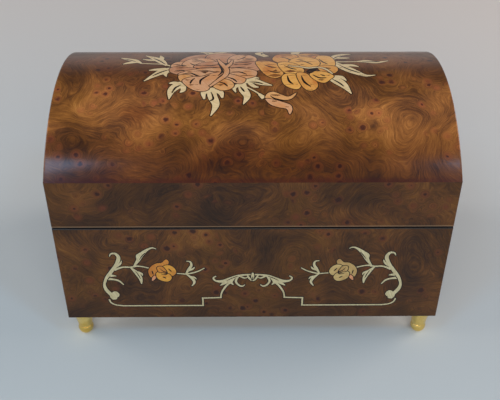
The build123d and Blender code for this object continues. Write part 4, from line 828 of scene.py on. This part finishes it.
def pink_rose(m):
    # outer petals, from the back round to the front
    m.inlay("rose", blob((-47, 10), (-44, 22), (-34, 30), (-24, 28), (-20, 16), (-30, 8)))
    m.inlay("rose", blob((-30, 16), (-29, 30), (-20, 36), (-11, 31), (-9, 18), (-18, 10)))
    m.inlay("pink", blob((-16, 12), (-12, 27), (-3, 29), (3, 20), (1, 9), (-8, 4)))
    m.inlay("rose", blob((-13, 8), (-3, 15), (5, 10), (6.6, 1), (-2, -3), (-13, 0)))
    m.inlay("pink", blob((-15, 2), (-5, 1), (2.6, -2), (2, -8.6), (-6, -11.4), (-14, -7)))
    m.inlay("pink", blob((-17, -5), (-9, -8.4), (-4.2, -12), (-6.6, -16.6), (-12, -15.6), (-19, -9)))
    m.inlay(
        "tan", blob((-25, -18.6), (-20, -12), (-14, -13.6), (-11.6, -18.6), (-14.4, -22.6), (-20, -23.4)),
    )
    m.slits(
        [(-14, 1.6), (-9, 3), (-4, 3.4)], [(-14, -4), (-8, -3.4), (-3.4, -6.4)],
        [(-11, 10), (-5, 11), (0, 9)],
    )
    m.slits(
        [(-16, -9.6), (-12, -12), (-9.8, -15.2)], [(-21.4, -15), (-18, -16.6), (-15.6, -19.6)],
        [(-10, 16), (-6, 20), (-4, 24)],
    )
    m.inlay("pink", blob((-53, 4), (-50.6, 11), (-44, 13), (-38, 10), (-38, 3), (-46, 0.6)))
    m.inlay("rose", blob((-53, -3), (-52.6, 3), (-45, 4.6), (-37, 3), (-38, -4), (-46, -7)))
    m.inlay("pink", blob((-45, 5), (-44, 14), (-37, 19.6), (-28, 18), (-24, 10), (-33, 3)))
    m.inlay("rose", blob((-38, 3.4), (-34, 10), (-28, 12), (-20.4, 12), (-17.6, 5), (-27, 1)))
    m.slits(
        [(-50, 5.4), (-46, 6.4), (-43, 5.6)], [(-50, -1.6), (-46, -1), (-42.6, -2.4)],
        [(-41, 10), (-38, 7), (-33, 6.4)],
    )
    m.slits(
        [(-40, 14), (-35, 14.6), (-31, 12.6)], [(-33, 6.6), (-27, 6), (-22, 7.6)],
        [(-40, 22), (-34, 23), (-28, 22)],
    )
    m.inlay(
        "pink",
        blob(
            (-47.6, -6.4), (-42, -1.6), (-34, 1), (-26, 2), (-18, 1.6), (-20, -4), (-29, -7.4),
            (-38, -8.6),
        ),
    )
    m.inlay("tan", blob((-47.4, -8), (-45, -15), (-39, -14), (-37.6, -9.6), (-42, -6.6)))
    m.inlay("pink", blob(
        (-44.6, -13.6), (-40.6, -20.4), (-34.6, -24.2), (-28.4, -23.4), (-26, -18), (-22.6, -11),
        (-18.8, -4),
        (-25, -4.6), (-32, -8.6), (-39, -9.4),
    ))
    m.slits(
        [(-45, -6), (-40, -4.6), (-36, -7.4), (-33.4, -9)],
        [(-36.6, -10.6), (-38.6, -13.6), (-39.4, -16.8)], width=0.45,
    )
    m.slits([(-27, -6.6), (-30.6, -10), (-33, -13.6), (-33, -17.6)], width=0.5)
    m.slits([(-38, -2.4), (-31, -1), (-25, -3), (-21, -3)], [(-34, 2.6), (-27, 3.6), (-20, 2)], width=0.3)
    # the folded edge in the middle
    m.inlay(
        "pink",
        ribbon(
            [(-26.8, -19.6), (-21.4, -13), (-17.4, -7.4), (-16.4, -1), (-18, 4.4)],
            (0.7, 1.3, 1.6, 1.6, 1.5),
        ),
        ribbon([(-17.6, 3), (-20, 9), (-22.6, 17)], (1.5, 1.3, 0.6)),
        ribbon([(-17.4, 3), (-14.4, 8), (-13, 15)], (1.4, 1.2, 0.5)),
    )
    m.slits([(-22.6, 10), (-20.6, 4), (-19.4, -3), (-22, -8)], width=0.45)


def orange_rose(m):
    m.inlay("orange", blob((27, 13), (28, 26), (36, 33), (45, 30), (48, 18), (40, 8)))
    m.inlay("amber", blob((42, 12), (45, 25), (52, 25), (55, 15), (54, 5), (47, 3)))
    m.inlay("orange", blob((14, 16), (17, 28), (25, 32), (31, 26), (29, 14), (21, 9)))
    m.inlay("amber", blob((25, 12), (29, 20), (37, 22), (44, 16), (44, 6), (35, 3)))
    m.inlay("orange", blob((43, 4), (48, 6), (55, 4), (55.6, -2), (51, -6), (45, -3)))
    m.slits(
        [(30, 17), (35, 13), (40, 7)], [(45, 18), (47, 12), (50, 8)], [(19, 22), (23, 20), (26, 15)],
        [(33, 24), (38, 25), (42, 22)],
    )
    m.inlay(
        "orange",
        blob((2.6, 12), (5, 1), (9, -7.4), (15, -10.8), (20, -6.4), (19, 2), (15.6, 10), (9, 14)),
    )
    m.inlay("amber", blob((17, 8), (21, 12), (27, 10), (32, 4), (33.6, -3), (27.4, -6), (21, -4)))
    m.slits(
        [(8, 7), (12, 4), (16, 2.4)], [(10, -1), (14, -3.6), (18, -4)], [(21, 6), (25, 2), (29, 0)],
        width=0.45,
    )
    m.inlay(
        "amber",
        blob(
            (19, -9.6), (19.6, -16.6), (23.4, -21), (28.6, -22.4), (31, -18), (30, -9), (26, -5.4),
            (21.6, -5.8),
        ),
    )
    m.inlay(
        "orange",
        blob(
            (28.6, -6), (30.2, -16), (33.8, -23), (38.6, -23.6), (41.6, -19), (40, -12.4), (36, -6.6),
            (32, -4),
        ),
    )
    m.inlay(
        "amber",
        blob((37, -7), (41, -14), (46, -16), (50, -12.4), (52.4, -8.4), (47.6, -3.6), (41, -2.6)),
    )
    m.slits(
        [(22.6, -8), (23.4, -14), (26, -17.8)], [(31.6, -8), (33, -15), (37, -20)],
        [(39, -7), (43, -10.6), (47.6, -10.6)], width=0.5,
    )
    m.inlay("line", blob((35, -3.4), (38, -5), (41, -2), (42.4, 1.4), (38, 0.8)), line=0)
    m.inlay(
        "cream",
        ribbon(
            [(24, 5.4), (31, 4), (37, 2), (43, 3), (48, 0.4), (52, -6)], (0.4, 0.8, 0.8, 0.7, 0.8, 0.5),
        ),
    )
    m.slits([(44, -6.6), (47, -8.6)], [(48, 2.6), (51.4, 1)], width=0.4)


# ---- padding ---------------------------------------------------------------------------------------
PAD_EDGE = 0.40  # share of a pad's thickness left at its sewn edge
PAD_CREASE = 0.35 * MM
WELL_PAD_DROP = 6 * MM  # of the wall pads' tops below the chest's rim
VAULT_THICKNESS = 4.5 * MM
LINING_GAP = 0.1 * MM
LINING_THICKNESS = 2.4 * MM
LINING_HALF_DEPTH = 69 * MM
LINING_TUFTS = 10
LINING_ROWS = 5


def pad_piece(name, body, place, across, along, steps):
    """A crowned, stuffed pad with a flat back; place(u, v, share, crease) gives its points in metres."""
    many_u, many_v = steps
    fronts, backs = [], []
    for j in range(many_v + 1):
        for i in range(many_u + 1):
            u, v = i / many_u, j / many_v
            crown_u, crown_v = 1 - abs(2 * u - 1) ** across, 1 - abs(2 * v - 1) ** along
            share = PAD_EDGE + (1 - PAD_EDGE) * (crown_u * crown_v) ** 0.5
            crease = noise.noise(Vector((u * 9, v * 5, len(name)))) * PAD_CREASE * crown_u * crown_v
            fronts.append(place(u, v, share, crease))
            backs.append(place(u, v, 0.0, 0.0))
    count = len(fronts)
    faces = []

    def at(i, j):
        return j * (many_u + 1) + i

    for j in range(many_v):
        for i in range(many_u):
            square = [at(i, j), at(i + 1, j), at(i + 1, j + 1), at(i, j + 1)]
            faces += [square, [k + count for k in reversed(square)]]
    border = [at(i, 0) for i in range(many_u)] + [at(many_u, j) for j in range(many_v)]
    border += [at(i, many_v) for i in range(many_u, 0, -1)] + [at(0, j) for j in range(many_v, 0, -1)]
    for a, b in zip(border, border[1:] + border[:1]):
        faces.append([b, a, a + count, b + count])
    mesh = bpy.data.meshes.new(name)
    mesh.from_pydata(fronts + backs, [], faces)
    work = bmesh.new()
    work.from_mesh(mesh)
    bmesh.ops.recalc_face_normals(work, faces=work.faces)
    work.to_mesh(mesh)
    work.free()
    mesh.shade_smooth()
    piece = bpy.data.objects.new(name, mesh)
    bpy.context.scene.collection.objects.link(piece)
    mesh.materials.append(FINISHES["velvet"])
    rounding = piece.modifiers.new("rounding", "SUBSURF")
    rounding.levels = rounding.render_levels = 1
    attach(piece, body)
    return piece


def flat_place(low, high, thin, outward):
    """Points of a pad that fills a box; thin is its thin axis, and outward the way it faces along it."""
    long_axes = [k for k in range(3) if k != thin]

    def place(u, v, share, crease):
        point = Vector((0, 0, 0))
        for axis, part in zip(long_axes, (u, v)):
            point[axis] = low[axis] + (high[axis] - low[axis]) * part
        thick = high[thin] - low[thin]
        back = low[thin] if outward > 0 else high[thin]
        point[thin] = back + outward * (thick * share + crease)
        return point

    return place


def lay_padding():
    """Velvet pads in the jewellery well, and the quilted lining under the vault."""
    floor_low, floor_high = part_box("well_floor_pad")
    walls_low, walls_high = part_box("well_wall_pads")
    thick = floor_high.z - floor_low.z
    floor_place = flat_place(floor_low, floor_high, 2, 1)
    floor_pad = pad_piece("well_floor_velvet", "case", floor_place, 10, 6, (64, 22))
    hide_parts("well_floor_pad")
    divider_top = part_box("compartment_divider")[1].z
    side_top = front_high.z - WELL_PAD_DROP
    left, front, low = walls_low
    right, back = walls_high.x, walls_high.y
    walls = (
        # side, lowest and highest corner, thin axis, the way it faces along it, squares across and up
        ("front", (left, front, low), (right, front + thick, side_top), 1, 1, (64, 18)),
        ("back", (left, back - thick, low), (right, back, divider_top - MM), 1, -1, (64, 18)),
        ("left", (left, front + thick, low), (left + thick, back - thick, side_top), 0, 1, (20, 18)),
        ("right", (right - thick, front + thick, low), (right, back - thick, side_top), 0, -1, (20, 18)),
    )
    for side, corner, far, thin, outward, steps in walls:
        place = flat_place(corner, far, thin, outward)
        piece = pad_piece("well_velvet_" + side, "case", place, 10, 6, steps)
        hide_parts("well_wall_pads")

    inner_radius = vault_radius - VAULT_THICKNESS - LINING_GAP
    reach = math.asin(LINING_HALF_DEPTH / inner_radius)

    def under_vault(u, v, share, crease):
        turn = (2 * v - 1) * reach
        tuft = abs(math.sin(u * math.pi * LINING_TUFTS)) * abs(math.cos(v * math.pi * LINING_ROWS))
        radius = inner_radius - share * LINING_THICKNESS * (0.4 + 0.6 * tuft) - crease
        across = left + u * (right - left)
        return Vector((across, radius * math.sin(turn), vault_centre + radius * math.cos(turn)))

    pad_piece("lid_lining_velvet", "lid", under_vault, 12, 12, (112, 60))


# ---- light, floor and camera ---------------------------------------------------------------------
CAMERA_PLACE = Vector((-5.7, -454.9, 399.8)) * MM
CAMERA_YAW = math.radians(0.58)
CAMERA_PITCH = math.radians(36.76)
CAMERA_ROLL = math.radians(0.16)
CAMERA_LENS = 55.8


def make_camera():
    camera = bpy.data.objects.new("camera", bpy.data.cameras.new("camera"))
    bpy.context.scene.collection.objects.link(camera)
    camera.data.lens = CAMERA_LENS
    camera.data.sensor_width = 36.0
    level = math.cos(CAMERA_PITCH)
    ahead = Vector((math.sin(CAMERA_YAW) * level, math.cos(CAMERA_YAW) * level, -math.sin(CAMERA_PITCH)))
    right = ahead.cross(Vector((0, 0, 1))).normalized()
    up = right.cross(ahead)
    turned_right = right * math.cos(CAMERA_ROLL) + up * math.sin(CAMERA_ROLL)
    turned_up = up * math.cos(CAMERA_ROLL) - right * math.sin(CAMERA_ROLL)
    axes = Matrix((turned_right, turned_up, -ahead)).transposed()
    camera.matrix_world = Matrix.Translation(CAMERA_PLACE) @ axes.to_4x4()
    bpy.context.scene.camera = camera


STUDIO_LIGHTS = (
    # name, place, size, watts and colour
    ("front_soft", (0.0, -1.9, 1.15), (2.2, 1.1), 34.0, (0.96, 0.97, 0.97)),
    ("left_soft", (-1.9, 0.2, 1.0), (1.4, 0.9), 18.0, (1.0, 0.98, 0.96)),
    ("right_soft", (1.9, 0.4, 1.1), (1.4, 0.9), 22.0, (1.0, 0.92, 0.86)),
    ("left_window", (-0.72, -0.88, 1.7), (0.30, 0.6), 5.6, (0.24, 0.62, 1.0)),
    ("right_window", (0.84, -0.88, 1.7), (0.18, 0.5), 5.2, (0.28, 0.64, 1.0)),
)
LIGHT_AIM = Vector((0, 0, 0.08))
SKY_NEAR_FLOOR = (0.28, (0.56, 0.52, 0.51, 1))  # height of the view direction, and colour
SKY_OVERHEAD = (0.56, (0.09, 0.09, 0.10, 1))


def area_light(name, place, size, power, colour):
    lamp = bpy.data.lights.new(name, "AREA")
    lamp.shape = "RECTANGLE"
    lamp.size, lamp.size_y = size
    lamp.energy = power
    lamp.color = colour
    holder = bpy.data.objects.new(name, lamp)
    bpy.context.scene.collection.objects.link(holder)
    holder.location = place
    holder.rotation_euler = (LIGHT_AIM - Vector(place)).to_track_quat("-Z", "Y").to_euler()


def make_studio():
    """Soft lights at the front and sides, two small blue windows high in front, a dim sky, the floor."""
    world = bpy.data.worlds.new("studio")
    bpy.context.scene.world = world
    world.use_nodes = True
    nodes, links = world.node_tree.nodes, world.node_tree.links
    height = nodes.new("ShaderNodeSeparateXYZ")
    links.new(nodes.new("ShaderNodeTexCoord").outputs["Generated"], height.inputs[0])
    fade = nodes.new("ShaderNodeValToRGB")
    links.new(height.outputs["Z"], fade.inputs[0])
    for point, (position, colour) in zip(fade.color_ramp.elements, (SKY_NEAR_FLOOR, SKY_OVERHEAD)):
        point.position, point.color = position, colour
    links.new(fade.outputs["Color"], nodes["Background"].inputs["Color"])
    for light in STUDIO_LIGHTS:
        area_light(*light)
    bpy.context.scene.view_settings.view_transform = "Standard"

    bpy.ops.mesh.primitive_plane_add(size=6.0, location=(0, 0, 0))
    floor = bpy.context.object
    floor.name = "floor"
    s = Shader("floor_paper")
    speck = s.noise(s.place, 0.0006, 3.0).outputs["Fac"]
    x, y, _ = s.parts(s.place)
    depth = s.step(s.add(y, s.times(x, 0.35)), -0.25, 0.75)
    tone = s.blend(depth, (0.475, 0.505, 0.505), (0.655, 0.577, 0.522))
    tone = s.blend(s.step(speck, 0.3, 0.7, 0.0, 0.06), tone, (0.9, 0.9, 0.9))
    floor.data.materials.append(s.finish(Base_Color=tone, Roughness=0.8))


make_camera()
make_studio()
finish_frame()
lay_padding()
lay_front_marquetry()
lay_lid_marquetry()
